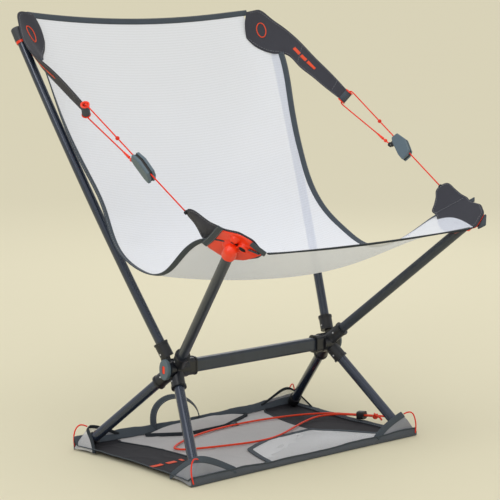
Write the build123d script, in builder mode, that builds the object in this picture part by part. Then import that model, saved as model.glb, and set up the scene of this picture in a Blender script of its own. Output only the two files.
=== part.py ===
"""Ultralight reclining mesh camp chair.

Millimetres, +Z up. The origin is on the ground under the middle of the spine beam. The sitter
faces -Y, so the sitter's left is +X: every left piece is modelled at +X and mirrored to make the
right one. The backrest turns about an X axis through both hubs.
"""
import os
from math import cos, pi, sin

from build123d import *

os.makedirs("parts", exist_ok=True)

# ---- driving dimensions -------------------------------------------------------------------
CLEAR = 0.3                                   # gap between neighbouring free pieces

HUB = Vector(145, 5, 132.5)                   # where the pole axes of one hub meet
FRONT_TIP = Vector(224.4, -206.4, 328.4)      # upper end of a front pole's axis
BACK_TIP = Vector(238, 238, 590)              # upper end of a back pole's axis
FRONT_FOOT = Vector(195, -99.5, 10.6)          # centre of a front foot's ball
BACK_FOOT = Vector(198, 137, 10.6)             # centre of a back foot's ball
FRONT_POLE_INSET = 3                          # the front pole's axis starts this far inboard
BACK_POLE_OUTSET = 3.5                        # the back pole's axis starts this far outboard

LEG_RADIUS = 7.2
BACK_POLE_RADIUS = 6.6
TUBE_WALL = 0.9
SOCKET_GAP = 0.15                             # radial gap of a tube pushed into a moulding

BEAM_Y, BEAM_Z = 3, 133
BEAM_DEPTH, BEAM_HEIGHT, BEAM_WALL, BEAM_CORNER = 12, 19.5, 1.4, 4
BEAM_HALF = 127

COLLAR_IN, COLLAR_OUT = 114, 133              # X where the hub's beam collar starts and ends
COLLAR_WALL, COLLAR_LIP, COLLAR_LIP_LENGTH, COLLAR_ROUND = 2.5, 0.8, 2.4, 5.5
CORE_RADIUS, CORE_OUT, CORE_ROOT = 14, 150.5, 4
SLEEVE_RADIUS, RIM_RADIUS, RIM_LENGTH = 9.8, 10.7, 3
FRONT_SLEEVE, FRONT_LEG_SLEEVE, BACK_LEG_SLEEVE = 35, 32, 36
TUBE_START = 20                               # a tube starts this far from the hub's centre
PIN_AT, PIN_RADIUS, PIN_GAP = 22.5, 1.2, 0.1  # cross pins through the sleeves
PIN_HALF = 10.2                               # half length of a pin
DRILL_HALF = 15                               # a drilled cross hole reaches this far each way
EYE_IN, EYE_OUT, EYE_RADIUS = 152.2, 160, 12.5
BOSS_RADIUS, BOSS_OUT, BOSS_ROOT = 6.5, 160.6, 2
SCREW_RADIUS, SCREW_LENGTH, SCREW_GAP = 2, 17, 0.1
SCREW_HEAD_RADIUS, SCREW_HEAD, SCREW_KEY = 4, 2, 1.3
BOSS_FIT = 0.05                               # running clearance of the eye on the boss
SWEEP_RADIUS = 15                             # the hub is cut back this far round the eye
BACK_SLEEVE_START, BACK_SLEEVE_END = 18, 40
BACK_SLEEVE_RADIUS, BACK_RIM_RADIUS, ARM_WIDTH = 9.6, 10.3, 12
CAP_IN, CAP_OUT, CAP_HALF_WIDTH, CAP_HALF_HEIGHT = 160.6, 166, 10, 14.5
INSERT_LENGTH, INSERT_WIDTH, INSERT_THICK = 11.4, 5.8, 0.9
INSERT_GAP, INSERT_DEPTH = 0.2, 1.5           # the slot in the cap, round and under the insert

FOOT_RADIUS, FOOT_COLLAR_RADIUS, FOOT_COLLAR = 8.3, 8.8, 15
LEG_END = 3                                   # a leg stops this far above its foot's centre

# corner plane: the front corners of the sling lie in it, and its normal points out and down
CORNER_LOW = Vector(198, -233, 323)
CORNER_HIGH = Vector(236, -190, 358.5)
CORNER_NORMAL = Vector(0.721, -0.068, -0.689)
CORNER = Plane(origin=CORNER_LOW, x_dir=CORNER_HIGH - CORNER_LOW, z_dir=CORNER_NORMAL)
MIRRORED_CORNER = Plane(
    origin=(-CORNER.origin.X, CORNER.origin.Y, CORNER.origin.Z),
    x_dir=(-CORNER.x_dir.X, CORNER.x_dir.Y, CORNER.x_dir.Z),
    z_dir=(-CORNER.z_dir.X, CORNER.z_dir.Y, CORNER.z_dir.Z),
)

# sling stations from the front edge to the top edge: edge x, y, z and centre y, z
SLING = [
    (198, -233, 323, -225, 315),
    (221, -150, 331, -150, 275),
    (210, -68, 283, -72, 254),
    (203, -20, 272, -20, 249),
    (205, 36, 290, 36, 256),
    (198, 72, 318, 80, 283),
    (193, 99, 355, 122, 332),
    (199, 127, 399, 156, 393),
    (213, 166, 471, 200, 468),
    (223, 198, 545, 240, 548),
    (222, 246, 612, 263, 598),
]
SLING_THICK = 1.2

# recline cord: from the tab on the front corner to the tube on the end of the shoulder strap
TAB_EYE = Vector(236.6, -132.7, 368.6)
STRAP_END = Vector(243.3, 71.3, 489.3)
CORD_DIR = (STRAP_END - TAB_EYE).normalized()
TUBE_DIR = Vector(0.445, -0.478, 0.757)
CORD_NORMAL = CORD_DIR.cross(TUBE_DIR).normalized()
CORD_RADIUS = 1.0
ADJUSTER_AT = 108                             # adjuster's middle, from the tab along the cord
STOP_KNOT_AT = 158                            # stop knot, from the tab along the cord
ADJUSTER = Plane(origin=TAB_EYE + CORD_DIR * ADJUSTER_AT, x_dir=CORD_DIR, z_dir=CORD_NORMAL)
TAB_X = -ADJUSTER_AT                          # the tab's eye in the adjuster's plane
TUBE_X = (STRAP_END - TAB_EYE).length - ADJUSTER_AT
TUBE_HALF = 10

# ground sheet
SHEET_X, SHEET_FRONT, SHEET_BACK, SHEET_THICK = 214.5, -112.5, 149.5, 1.5
SHEET_SAG = 8                                 # how far each long edge curves in
CORD_LOOP_RADIUS = 1.0
BUNGEE_RADIUS = 1.5

# cord lock on the bungee, near the sheet's left edge
LOCK = Vector(207, -6, 13)
LOCK_DIR = Vector(0.30, -0.95, 0.06).normalized()
LOCK_SIDE = Vector(0.95, 0.30, 0).normalized()
STRAND = 1.9                                  # the bungee's two strands lie this far off centre
KNOT_AT = 22                                  # the bungee's end knot, from the lock
STRAIGHT_BEHIND = 33                          # length of straight strands behind the lock
BUTTON_TRAVEL = 2

# the bungee between the two strands that go through the lock
BUNGEE_BENDS = [
    (187, 53, 8.5), (163, 75, 6.5), (128, 91, 4.9), (88, 99, 4.6), (46, 101, 4.6),
    (4, 98, 4.6), (-36, 90, 4.6), (-72, 76, 4.6), (-98, 63, 4.6), (-113, 50, 4.6),
    (-108, 36, 4.6), (-86, 27, 4.6), (-50, 15, 4.6), (-10, 4, 4.6), (28, 1, 4.6), (64, 12, 4.6),
    (98, 28, 4.8), (134, 43, 5.5), (164, 50, 7), (182, 42, 8.6),
]


def write(part, name):
    """Label a finished piece and write it."""
    part.label = name
    export_step(part, f"parts/{name}.step")


def write_pair(part, name):
    """Write the left piece and its mirror image."""
    write(part, f"{name}_left")
    write(mirror(part, about=Plane.YZ), f"{name}_right")


def along(start, end, distance):
    """Plane whose normal runs from start to end, this far from start."""
    direction = (end - start).normalized()
    return Plane(origin=start + direction * distance, z_dir=direction)


def across(direction):
    """Unit vector across a pole, as near to X as it can be."""
    side = Vector(1, 0, 0) - direction * direction.X
    return side.normalized()


def corner_radii(points, share=0.45):
    """Largest fair arc at each corner of a route."""
    radii = []
    for before, here, after in zip(points, points[1:], points[2:]):
        run_in = Vector(*here) - Vector(*before)
        run_out = Vector(*after) - Vector(*here)
        turn = run_in.get_angle(run_out) * pi / 180
        radii.append(share * min(run_in.length, run_out.length) * cos(turn / 2) / sin(turn / 2))
    return radii


def cord_tube(points, radius):
    """Cord along straight runs joined by the largest fair arcs."""
    radii = corner_radii(points)
    print("radii", [round(value, 1) for value in radii])
    with BuildPart() as tube:
        with BuildLine() as route:
            FilletPolyline(*points, radius=radii)
        with BuildSketch(Plane(origin=route.line @ 0, z_dir=route.line % 0)):
            Circle(radius)
        sweep(path=route.line)
    length = sum(edge.length for edge in route.edges())
    ideal = pi * radius**2 * length
    print("length", round(length, 1), "volume share", round(tube.part.volume / ideal, 3))
    return tube.part


FRONT_POLE_FROM = HUB - Vector(FRONT_POLE_INSET, 0, 0)
BACK_POLE_FROM = HUB + Vector(BACK_POLE_OUTSET, 0, 0)
# the sling's pull bends a back pole inwards: it leaves its sleeve along this direction
BACK_POLE_DIR = Vector(0.205, 0.45, 0.87).normalized()

# ---- spine beam ---------------------------------------------------------------------------
with BuildPart() as spine_beam:
    with BuildSketch(Plane.YZ.offset(-BEAM_HALF)):
        with Locations((BEAM_Y, BEAM_Z)):
            RectangleRounded(BEAM_DEPTH, BEAM_HEIGHT, BEAM_CORNER)
            RectangleRounded(BEAM_DEPTH - 2 * BEAM_WALL, BEAM_HEIGHT - 2 * BEAM_WALL,
                             BEAM_CORNER - BEAM_WALL, mode=Mode.SUBTRACT)
    extrude(amount=2 * BEAM_HALF)
write(spine_beam.part, "spine_beam")

# ---- hub: collar for the beam, core, three fixed sleeves and the pivot boss ------------------
SLEEVES = [
    (FRONT_POLE_FROM, FRONT_TIP, FRONT_SLEEVE),
    (HUB, FRONT_FOOT, FRONT_LEG_SLEEVE),
    (HUB, BACK_FOOT, BACK_LEG_SLEEVE),
]
with BuildPart() as hub:
    with BuildSketch(Plane.YZ.offset(COLLAR_IN)):
        with Locations((BEAM_Y, BEAM_Z)):
            RectangleRounded(BEAM_DEPTH + 2 * COLLAR_WALL, BEAM_HEIGHT + 2 * COLLAR_WALL,
                             COLLAR_ROUND)
    extrude(amount=COLLAR_OUT - COLLAR_IN)
    with BuildSketch(Plane.YZ.offset(COLLAR_IN)):
        with Locations((BEAM_Y, BEAM_Z)):
            RectangleRounded(BEAM_DEPTH + 2 * (COLLAR_WALL + COLLAR_LIP),
                             BEAM_HEIGHT + 2 * (COLLAR_WALL + COLLAR_LIP),
                             COLLAR_ROUND + COLLAR_LIP)
    extrude(amount=COLLAR_LIP_LENGTH)
    with BuildSketch(Plane.YZ.offset(COLLAR_OUT - CORE_ROOT)):
        with Locations((HUB.Y, HUB.Z)):
            Circle(CORE_RADIUS)
    extrude(amount=CORE_OUT - COLLAR_OUT + CORE_ROOT)
    chamfer(hub.faces().sort_by(Axis.X)[-1].edges(), 1)
    for start, end, length in SLEEVES:
        with BuildSketch(along(start, end, 0)):
            Circle(SLEEVE_RADIUS)
        extrude(amount=length)
        with BuildSketch(along(start, end, length - RIM_LENGTH)):
            Circle(RIM_RADIUS)
        extrude(amount=RIM_LENGTH)
    with BuildSketch(Plane.YZ.offset(CORE_OUT + 1)):
        with Locations((HUB.Y, HUB.Z)):
            Circle(SWEEP_RADIUS)
    extrude(amount=20, mode=Mode.SUBTRACT)
    with BuildSketch(Plane.YZ.offset(CORE_OUT - BOSS_ROOT)):
        with Locations((HUB.Y, HUB.Z)):
            Circle(BOSS_RADIUS)
    extrude(amount=BOSS_OUT - CORE_OUT + BOSS_ROOT)
    for start, end, length in SLEEVES:
        with BuildSketch(along(start, end, TUBE_START - 0.5)):
            Circle(LEG_RADIUS + SOCKET_GAP)
        extrude(amount=length, mode=Mode.SUBTRACT)
        pole_dir = (end - start).normalized()
        pin_side = across(pole_dir)
        with BuildSketch(Plane(origin=start + pole_dir * PIN_AT, z_dir=pin_side)):
            Circle(PIN_RADIUS + PIN_GAP)
        extrude(amount=DRILL_HALF, both=True, mode=Mode.SUBTRACT)
    with BuildSketch(Plane.YZ.offset(COLLAR_IN)):
        with Locations((BEAM_Y, BEAM_Z)):
            RectangleRounded(BEAM_DEPTH + 2 * SOCKET_GAP, BEAM_HEIGHT + 2 * SOCKET_GAP,
                             BEAM_CORNER + SOCKET_GAP)
    extrude(amount=BEAM_HALF - COLLAR_IN + 0.5, mode=Mode.SUBTRACT)
    with BuildSketch(Plane.YZ.offset(BOSS_OUT - SCREW_LENGTH - 1)):
        with Locations((HUB.Y, HUB.Z)):
            Circle(SCREW_RADIUS + SCREW_GAP)
    extrude(amount=SCREW_LENGTH + 1, mode=Mode.SUBTRACT)
write_pair(hub.part, "hub")

# ---- hub cap, its red insert and the pivot screw under it ----------------------------------
with BuildPart() as hub_cap:
    with BuildSketch(Plane.YZ.offset(CAP_IN)):
        with Locations((HUB.Y, HUB.Z)):
            Ellipse(CAP_HALF_WIDTH, CAP_HALF_HEIGHT)
    extrude(amount=CAP_OUT - CAP_IN)
    fillet(hub_cap.faces().sort_by(Axis.X)[-1].edges(), 1.4)
    with BuildSketch(Plane.YZ.offset(CAP_OUT - INSERT_DEPTH)):
        with Locations((HUB.Y, HUB.Z)):
            SlotOverall(INSERT_LENGTH + 2 * INSERT_GAP, INSERT_WIDTH + 2 * INSERT_GAP, rotation=90)
    extrude(amount=INSERT_DEPTH, mode=Mode.SUBTRACT)
    with BuildSketch(Plane.YZ.offset(CAP_IN)):
        with Locations((HUB.Y, HUB.Z)):
            Circle(SCREW_HEAD_RADIUS + 2 * INSERT_GAP)
    extrude(amount=SCREW_HEAD + 2 * INSERT_GAP, mode=Mode.SUBTRACT)
write_pair(hub_cap.part, "hub_cap")

with BuildPart() as hub_cap_inserts:
    with BuildSketch(Plane.YZ.offset(CAP_OUT - INSERT_DEPTH)):
        with Locations((HUB.Y, HUB.Z)):
            SlotOverall(INSERT_LENGTH, INSERT_WIDTH, rotation=90)
    extrude(amount=INSERT_THICK)
    mirror(about=Plane.YZ)
write(hub_cap_inserts.part, "hub_cap_inserts")

with BuildPart() as pivot_screws:
    with BuildSketch(Plane.YZ.offset(BOSS_OUT - SCREW_LENGTH)):
        with Locations((HUB.Y, HUB.Z)):
            Circle(SCREW_RADIUS)
    extrude(amount=SCREW_LENGTH)
    with BuildSketch(Plane.YZ.offset(BOSS_OUT)):
        with Locations((HUB.Y, HUB.Z)):
            Circle(SCREW_HEAD_RADIUS)
            RegularPolygon(SCREW_KEY, 6, mode=Mode.SUBTRACT)
    extrude(amount=SCREW_HEAD)
    mirror(about=Plane.YZ)
write(pivot_screws.part, "pivot_screws")

with BuildPart() as hub_pins:
    for start, end, length in SLEEVES:
        pole_dir = (end - start).normalized()
        pin_side = across(pole_dir)
        with BuildSketch(Plane(origin=start + pole_dir * PIN_AT, z_dir=pin_side)):
            Circle(PIN_RADIUS)
        extrude(amount=PIN_HALF, both=True)
    mirror(about=Plane.YZ)
write(hub_pins.part, "hub_pins")


def straight_tube(start, end, first, last):
    """Round tube along one axis, drilled for its cross pin."""
    pole_dir = (end - start).normalized()
    pin_side = across(pole_dir)
    with BuildPart() as tube:
        with BuildSketch(along(start, end, first)):
            Circle(LEG_RADIUS)
            Circle(LEG_RADIUS - TUBE_WALL, mode=Mode.SUBTRACT)
        extrude(amount=last - first)
        with BuildSketch(Plane(origin=start + pole_dir * PIN_AT, z_dir=pin_side)):
            Circle(PIN_RADIUS + PIN_GAP)
        extrude(amount=DRILL_HALF, both=True, mode=Mode.SUBTRACT)
    return tube.part


# ---- legs, front poles and feet --------------------------------------------------------------
FRONT_LEG_LENGTH = (FRONT_FOOT - HUB).length
BACK_LEG_LENGTH = (BACK_FOOT - HUB).length
write_pair(straight_tube(HUB, FRONT_FOOT, TUBE_START, FRONT_LEG_LENGTH - LEG_END), "front_leg")
write_pair(straight_tube(HUB, BACK_FOOT, TUBE_START, BACK_LEG_LENGTH - LEG_END), "back_leg")
FRONT_POLE_LENGTH = (FRONT_TIP - FRONT_POLE_FROM).length
write_pair(straight_tube(FRONT_POLE_FROM, FRONT_TIP, TUBE_START, FRONT_POLE_LENGTH), "front_pole")

with BuildPart() as feet:
    for foot in (FRONT_FOOT, BACK_FOOT):
        leg_length = (foot - HUB).length
        with Locations(Location((foot.X, foot.Y, foot.Z))):
            Sphere(FOOT_RADIUS)
        with BuildSketch(along(HUB, foot, leg_length - FOOT_COLLAR)):
            Circle(FOOT_COLLAR_RADIUS)
        extrude(amount=FOOT_COLLAR - 1)
    for foot in (FRONT_FOOT, BACK_FOOT):
        leg_length = (foot - HUB).length
        with BuildSketch(along(HUB, foot, leg_length - FOOT_COLLAR)):
            Circle(LEG_RADIUS + SOCKET_GAP)
        extrude(amount=FOOT_COLLAR - LEG_END + CLEAR, mode=Mode.SUBTRACT)
    mirror(about=Plane.YZ)
write(feet.part, "feet")

# ---- back sleeve: turns on the hub's boss and carries the back pole -------------------------
with BuildPart() as back_sleeve:
    with BuildSketch(Plane.YZ.offset(EYE_IN)):
        with Locations((HUB.Y, HUB.Z)):
            Circle(EYE_RADIUS)
    extrude(amount=EYE_OUT - EYE_IN)
    arm_angle = Vector(0, BACK_POLE_DIR.Y, BACK_POLE_DIR.Z).get_angle(Vector(0, 1, 0))
    with BuildSketch(Plane.YZ.offset(EYE_IN)):
        with Locations(Location((HUB.Y, HUB.Z, 0), (0, 0, arm_angle))):
            Rectangle(2 * ARM_WIDTH, ARM_WIDTH, align=(Align.MIN, Align.CENTER))
    extrude(amount=EYE_OUT - EYE_IN)
    with BuildSketch(Plane(origin=BACK_POLE_FROM + BACK_POLE_DIR * BACK_SLEEVE_START,
                           z_dir=BACK_POLE_DIR)):
        Circle(BACK_SLEEVE_RADIUS)
    extrude(amount=BACK_SLEEVE_END - BACK_SLEEVE_START)
    with BuildSketch(Plane(origin=BACK_POLE_FROM + BACK_POLE_DIR * (BACK_SLEEVE_END - RIM_LENGTH),
                           z_dir=BACK_POLE_DIR)):
        Circle(BACK_RIM_RADIUS)
    extrude(amount=RIM_LENGTH)
    with BuildSketch(Plane.YZ.offset(EYE_IN)):
        with Locations((HUB.Y, HUB.Z)):
            Circle(BOSS_RADIUS + BOSS_FIT)
    extrude(amount=EYE_OUT - EYE_IN, mode=Mode.SUBTRACT)
    with BuildSketch(Plane(origin=BACK_POLE_FROM + BACK_POLE_DIR * (TUBE_START - 0.5),
                           z_dir=BACK_POLE_DIR)):
        Circle(BACK_POLE_RADIUS + SOCKET_GAP)
    extrude(amount=BACK_SLEEVE_END, mode=Mode.SUBTRACT)
    back_pin_side = across(BACK_POLE_DIR)
    back_pin_at = BACK_POLE_FROM + BACK_POLE_DIR * (PIN_AT + 2)
    with BuildSketch(Plane(origin=back_pin_at, z_dir=back_pin_side)):
        Circle(PIN_RADIUS + PIN_GAP)
    extrude(amount=DRILL_HALF, both=True, mode=Mode.SUBTRACT)
write_pair(back_sleeve.part, "back_sleeve")

with BuildPart() as back_sleeve_pins:
    with BuildSketch(Plane(origin=back_pin_at, z_dir=back_pin_side)):
        Circle(PIN_RADIUS)
    extrude(amount=PIN_HALF, both=True)
    mirror(about=Plane.YZ)
write(back_sleeve_pins.part, "back_sleeve_pins")

# ---- back poles: straight in the sleeve, then one long arc to the tip ------------------------
ARC_START = BACK_POLE_FROM + BACK_POLE_DIR * BACK_SLEEVE_END
with BuildLine() as back_pole_axis:
    back_arc = TangentArc(ARC_START, BACK_TIP, tangent=BACK_POLE_DIR)
POLE_SPLIT = 0.42                             # where the two pole sections meet, along the arc
SPLIT_GAP = 0.0004                            # and the joint's gap, as a share of the arc
FERRULE_HALF, FERRULE_RADIUS = 0.06, BACK_POLE_RADIUS - TUBE_WALL - 0.12
SHOCK_SPAN, SHOCK_RADIUS = (0.02, 0.985), 1.3


def arc_between(first, last):
    """The stretch of the back pole's arc between two shares of its length."""
    return ThreePointArc(back_arc @ first, back_arc @ ((first + last) / 2), back_arc @ last)


def arc_tube(first, last, outer, inner):
    """Tube along a stretch of the back pole's arc."""
    with BuildPart() as tube:
        with BuildLine() as stretch:
            arc_between(first, last)
        with BuildSketch(Plane(origin=back_arc @ first, z_dir=back_arc % first)):
            Circle(outer)
            if inner:
                Circle(inner, mode=Mode.SUBTRACT)
        sweep(path=stretch.line)
    return tube.part


with BuildPart() as back_pole_lower:
    with BuildSketch(Plane(origin=BACK_POLE_FROM + BACK_POLE_DIR * TUBE_START,
                           z_dir=BACK_POLE_DIR)):
        Circle(BACK_POLE_RADIUS)
        Circle(BACK_POLE_RADIUS - TUBE_WALL, mode=Mode.SUBTRACT)
    extrude(amount=BACK_SLEEVE_END - TUBE_START)
    with BuildLine() as lower_path:
        arc_between(0, POLE_SPLIT)
    with BuildSketch(Plane(origin=back_arc @ 0, z_dir=BACK_POLE_DIR)):
        Circle(BACK_POLE_RADIUS)
        Circle(BACK_POLE_RADIUS - TUBE_WALL, mode=Mode.SUBTRACT)
    sweep(path=lower_path.line)
    with BuildSketch(Plane(origin=back_pin_at, z_dir=back_pin_side)):
        Circle(PIN_RADIUS + PIN_GAP)
    extrude(amount=DRILL_HALF, both=True, mode=Mode.SUBTRACT)
write_pair(back_pole_lower.part, "back_pole_lower")
write_pair(arc_tube(POLE_SPLIT + SPLIT_GAP, 1, BACK_POLE_RADIUS, BACK_POLE_RADIUS - TUBE_WALL),
           "back_pole_upper")

with BuildPart() as pole_ferrules:
    add(arc_tube(POLE_SPLIT - FERRULE_HALF, POLE_SPLIT + FERRULE_HALF, FERRULE_RADIUS,
                 FERRULE_RADIUS - TUBE_WALL))
    mirror(about=Plane.YZ)
write(pole_ferrules.part, "pole_ferrules")

with BuildPart() as shock_cords:
    add(arc_tube(*SHOCK_SPAN, SHOCK_RADIUS, 0))
    mirror(about=Plane.YZ)
write(shock_cords.part, "shock_cords")

# ---- tip cups of the back poles and the red ring under each ------------------------------------
TIP_DIR = back_arc % 1
TIP_DEPTH, TIP_LENGTH, TIP_RADIUS, TIP_ROUND = 13, 20, 8.2, 3.5
RING_RADIUS, RING_LENGTH, RING_GAP = 7.9, 3.8, 0.2
with BuildPart() as tip_cups:
    with BuildSketch(Plane(origin=BACK_TIP - TIP_DIR * TIP_DEPTH, z_dir=TIP_DIR)):
        Circle(TIP_RADIUS)
    extrude(amount=TIP_LENGTH)
    fillet(tip_cups.faces().sort_by(Axis.Z)[-1].edges(), TIP_ROUND)
    with BuildSketch(Plane(origin=BACK_TIP - TIP_DIR * TIP_DEPTH, z_dir=TIP_DIR)):
        Circle(BACK_POLE_RADIUS + SOCKET_GAP)
    extrude(amount=TIP_DEPTH + 0.5, mode=Mode.SUBTRACT)
    mirror(about=Plane.YZ)
write(tip_cups.part, "tip_cups")

with BuildPart() as tip_rings:
    with BuildSketch(Plane(origin=BACK_TIP - TIP_DIR * (TIP_DEPTH + RING_GAP + RING_LENGTH),
                           z_dir=TIP_DIR)):
        Circle(RING_RADIUS)
        Circle(BACK_POLE_RADIUS + SOCKET_GAP, mode=Mode.SUBTRACT)
    extrude(amount=RING_LENGTH)
    mirror(about=Plane.YZ)
write(tip_rings.part, "tip_rings")

# ---- sling: seat and backrest panels, each a thin curved sheet ---------------------------------
edge_line = Spline(*[(x, y, z) for x, y, z, cy, cz in SLING])
centre_line = Spline(*[(0, cy, cz) for x, y, z, cy, cz in SLING])


def sling_face(first, last, rows=9, columns=9):
    """Curved sheet between two shares of the sling's length."""
    grid = []
    for row in range(rows):
        share = first + (last - first) * row / (rows - 1)
        edge = edge_line @ share
        centre = centre_line @ share
        line = []
        for column in range(columns):
            side = 2 * column / (columns - 1) - 1
            bow = side * side
            line.append(Vector(edge.X * side, centre.Y + (edge.Y - centre.Y) * bow,
                               centre.Z + (edge.Z - centre.Z) * bow))
        grid.append(line)
    return Face.make_surface_from_array_of_points(grid)


PATCH_DEPTH = 1.8                             # a front patch's inner face, from the corner plane
SEAT_SHARE = (0.0, 0.40)
BACK_SHARE = (0.445, 1.0)
with BuildPart() as seat_sling:
    thicken(sling_face(*SEAT_SHARE), amount=SLING_THICK)
    # the sheet is cut back where the corner patches lie outside it
    for corner_plane, middle_y in ((CORNER, -18), (MIRRORED_CORNER, 18)):
        with BuildSketch(corner_plane.offset(-PATCH_DEPTH - CLEAR)):
            with Locations((33, middle_y)):
                Rectangle(84, 84)
        extrude(amount=14, mode=Mode.SUBTRACT)
write(seat_sling.part, "seat_sling")

with BuildPart() as backrest_sling:
    thicken(sling_face(*BACK_SHARE), amount=SLING_THICK)
write(backrest_sling.part, "backrest_sling")

# ---- front corners: fabric patch with its cord tab, and the red cup under it --------------------
PATCH_THICK, HEM_WALL = 1.5, 1.3
TAB_HALF, TAB_ROLL = 7, 3                     # half width and rolled-hem radius of the tab's end
TAB_ROOT, TAB_ROOT_HALF = Vector(66, -22, -PATCH_DEPTH), 21
PATCH_OUTLINE = [(-1, 1.5), (17.5, 16), (41.5, 13.8), (67, 0), (70, -44), (54, -43), (14.6, -36.5)]
with BuildPart() as front_patch:
    with BuildSketch(CORNER.offset(-PATCH_DEPTH)):
        with BuildLine():
            Polyline(*PATCH_OUTLINE, close=True)
        make_face()
    extrude(amount=PATCH_THICK)
    tab_from = CORNER.from_local_coords(TAB_ROOT)
    tab_length = (TAB_EYE - tab_from).length
    tab_dir = (TAB_EYE - tab_from).normalized()
    tab_normal = CORNER.z_dir - tab_dir * CORNER.z_dir.dot(tab_dir)
    TAB = Plane(origin=tab_from, x_dir=tab_dir, z_dir=tab_normal)
    with BuildSketch(TAB):
        with BuildLine():
            Polyline((0, -TAB_ROOT_HALF), (0, TAB_ROOT_HALF), (tab_length - TAB_ROLL, TAB_HALF),
                     (tab_length - TAB_ROLL, -TAB_HALF), (tab_length * 0.6, -TAB_HALF - 1),
                     close=True)
        make_face()
    extrude(amount=PATCH_THICK)
    with BuildSketch(Plane(origin=TAB.from_local_coords(Vector(tab_length - TAB_ROLL, 0, 0)),
                           x_dir=tab_dir, z_dir=TAB.y_dir)):
        Circle(TAB_ROLL)
        Circle(TAB_ROLL - HEM_WALL, mode=Mode.SUBTRACT)
    extrude(amount=TAB_HALF, both=True)
write_pair(front_patch.part, "front_patch")

# red cup: a leaf-shaped plate, the socket of the pole, a domed knuckle and a short open tube
CUP_THICK, SOCKET_LENGTH, SOCKET_RADIUS = 2.2, 16, 9.4
BORE_REACH = 60                               # the pole's bore clears all of the cup this far back
CUP_OUTLINE = [(-4, -3), (18, 17), (54, 0), (67, -5), (66, -56), (41, -57), (26, -52), (8, -32)]
KNUCKLE_AT, KNUCKLE_RADIUS, KNUCKLE_LIFT = (46, -9), 5.5, 4
TUBE_AT, TUBE_OUTER, TUBE_INNER, TUBE_TALL = (20, -10), 6, 3.6, 8.5
BOSS_AT, BOSS_SIZE, BOSS_TALL = (34, -14), (14, 26), 12
with BuildPart() as corner_cup:
    with BuildSketch(CORNER.offset(CLEAR)):
        with BuildLine():
            Polyline(*CUP_OUTLINE, close=True)
        make_face()
    extrude(amount=CUP_THICK)
    with BuildSketch(along(FRONT_POLE_FROM, FRONT_TIP, FRONT_POLE_LENGTH - SOCKET_LENGTH)):
        Circle(SOCKET_RADIUS)
    extrude(amount=SOCKET_LENGTH + 2)
    with Locations(Location((FRONT_TIP.X, FRONT_TIP.Y, FRONT_TIP.Z))):
        Sphere(SOCKET_RADIUS)
    with BuildSketch(CORNER.offset(CLEAR + CUP_THICK / 2)):
        with Locations(BOSS_AT):
            RectangleRounded(*BOSS_SIZE, 3)
    extrude(amount=BOSS_TALL)
    with Locations(CORNER.location * Location((*KNUCKLE_AT, CLEAR + KNUCKLE_LIFT))):
        Sphere(KNUCKLE_RADIUS)
    with BuildSketch(CORNER.offset(CLEAR + CUP_THICK / 2)):
        with Locations(TUBE_AT):
            Circle(TUBE_OUTER)
    extrude(amount=TUBE_TALL)
    with BuildSketch(CORNER.offset(CLEAR + CUP_THICK + 0.5)):
        with Locations(TUBE_AT):
            Circle(TUBE_INNER)
    extrude(amount=TUBE_TALL + 1.5, mode=Mode.SUBTRACT)
    with BuildSketch(CORNER.offset(CLEAR)):
        with Locations((30, -14)):
            Rectangle(120, 120)
    extrude(amount=-12, mode=Mode.SUBTRACT)
    with BuildSketch(along(FRONT_POLE_FROM, FRONT_TIP, FRONT_POLE_LENGTH - BORE_REACH)):
        Circle(LEG_RADIUS + SOCKET_GAP)
    extrude(amount=BORE_REACH + CLEAR, mode=Mode.SUBTRACT)
write_pair(corner_cup.part, "corner_cup")

# ---- top corners: fabric patch on the sling and the shoulder strap that leaves it ---------------
TOP = Plane(origin=(0, 241, 612), x_dir=(1, 0, 0), z_dir=(0, -0.82, 0.572))
with BuildPart() as top_patch:
    with BuildSketch(TOP):
        with BuildLine():
            Polyline((221, 3), (197, 1), (187, -28), (185, -50), (196, -62), (209, -69),
                     (221, -73), close=True)
        make_face()
    extrude(amount=1.5)
write_pair(top_patch.part, "top_patch")

STRAP_START = Vector(243, 197, 563)
STRAP_DIR = (STRAP_END - STRAP_START).normalized()
STRAP_LENGTH = (STRAP_END - STRAP_START).length
STRAP_ACROSS = Vector(0.5, -0.3, 0.81)        # width direction of the strap
STRAP = Plane(origin=STRAP_START, x_dir=STRAP_DIR, z_dir=STRAP_DIR.cross(STRAP_ACROSS))
STRAP_WIDE, STRAP_NARROW, STRAP_THICK, WRAP_WALL = 42, 23, 1.5, 1.4
STRAP_TAPER = 12                              # the strap narrows over this last stretch
TUBE_BARREL, TUBE_FLANGE, TUBE_FLANGE_THICK = 4, 6.3, 1.6
TUBE_THROAT, TUBE_MOUTH, THROAT_HALF = 1.7, 4.4, 5.5
WRAP_HALF = TUBE_HALF - TUBE_FLANGE_THICK - CLEAR
with BuildPart() as strap:
    with BuildSketch(STRAP.offset(-STRAP_THICK / 2)):
        with BuildLine():
            strap_end = STRAP_LENGTH - TUBE_BARREL - 0.8
            end_half, neck_half = WRAP_HALF - 0.6, STRAP_NARROW / 2 - 2
            Polyline((0, -STRAP_WIDE / 2), (0, STRAP_WIDE / 2),
                     (STRAP_LENGTH - STRAP_TAPER, neck_half), (strap_end, end_half),
                     (strap_end, -end_half), (STRAP_LENGTH - STRAP_TAPER, -neck_half), close=True)
        make_face()
    extrude(amount=STRAP_THICK)
    with BuildSketch(Plane(origin=STRAP_END, z_dir=TUBE_DIR)):
        Circle(TUBE_BARREL + CLEAR + WRAP_WALL)
    extrude(amount=WRAP_HALF, both=True)
    with BuildSketch(Plane(origin=STRAP_END, z_dir=TUBE_DIR)):
        Circle(TUBE_BARREL + CLEAR)
    extrude(amount=TUBE_HALF + 4, both=True, mode=Mode.SUBTRACT)
write_pair(strap.part, "strap")

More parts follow.
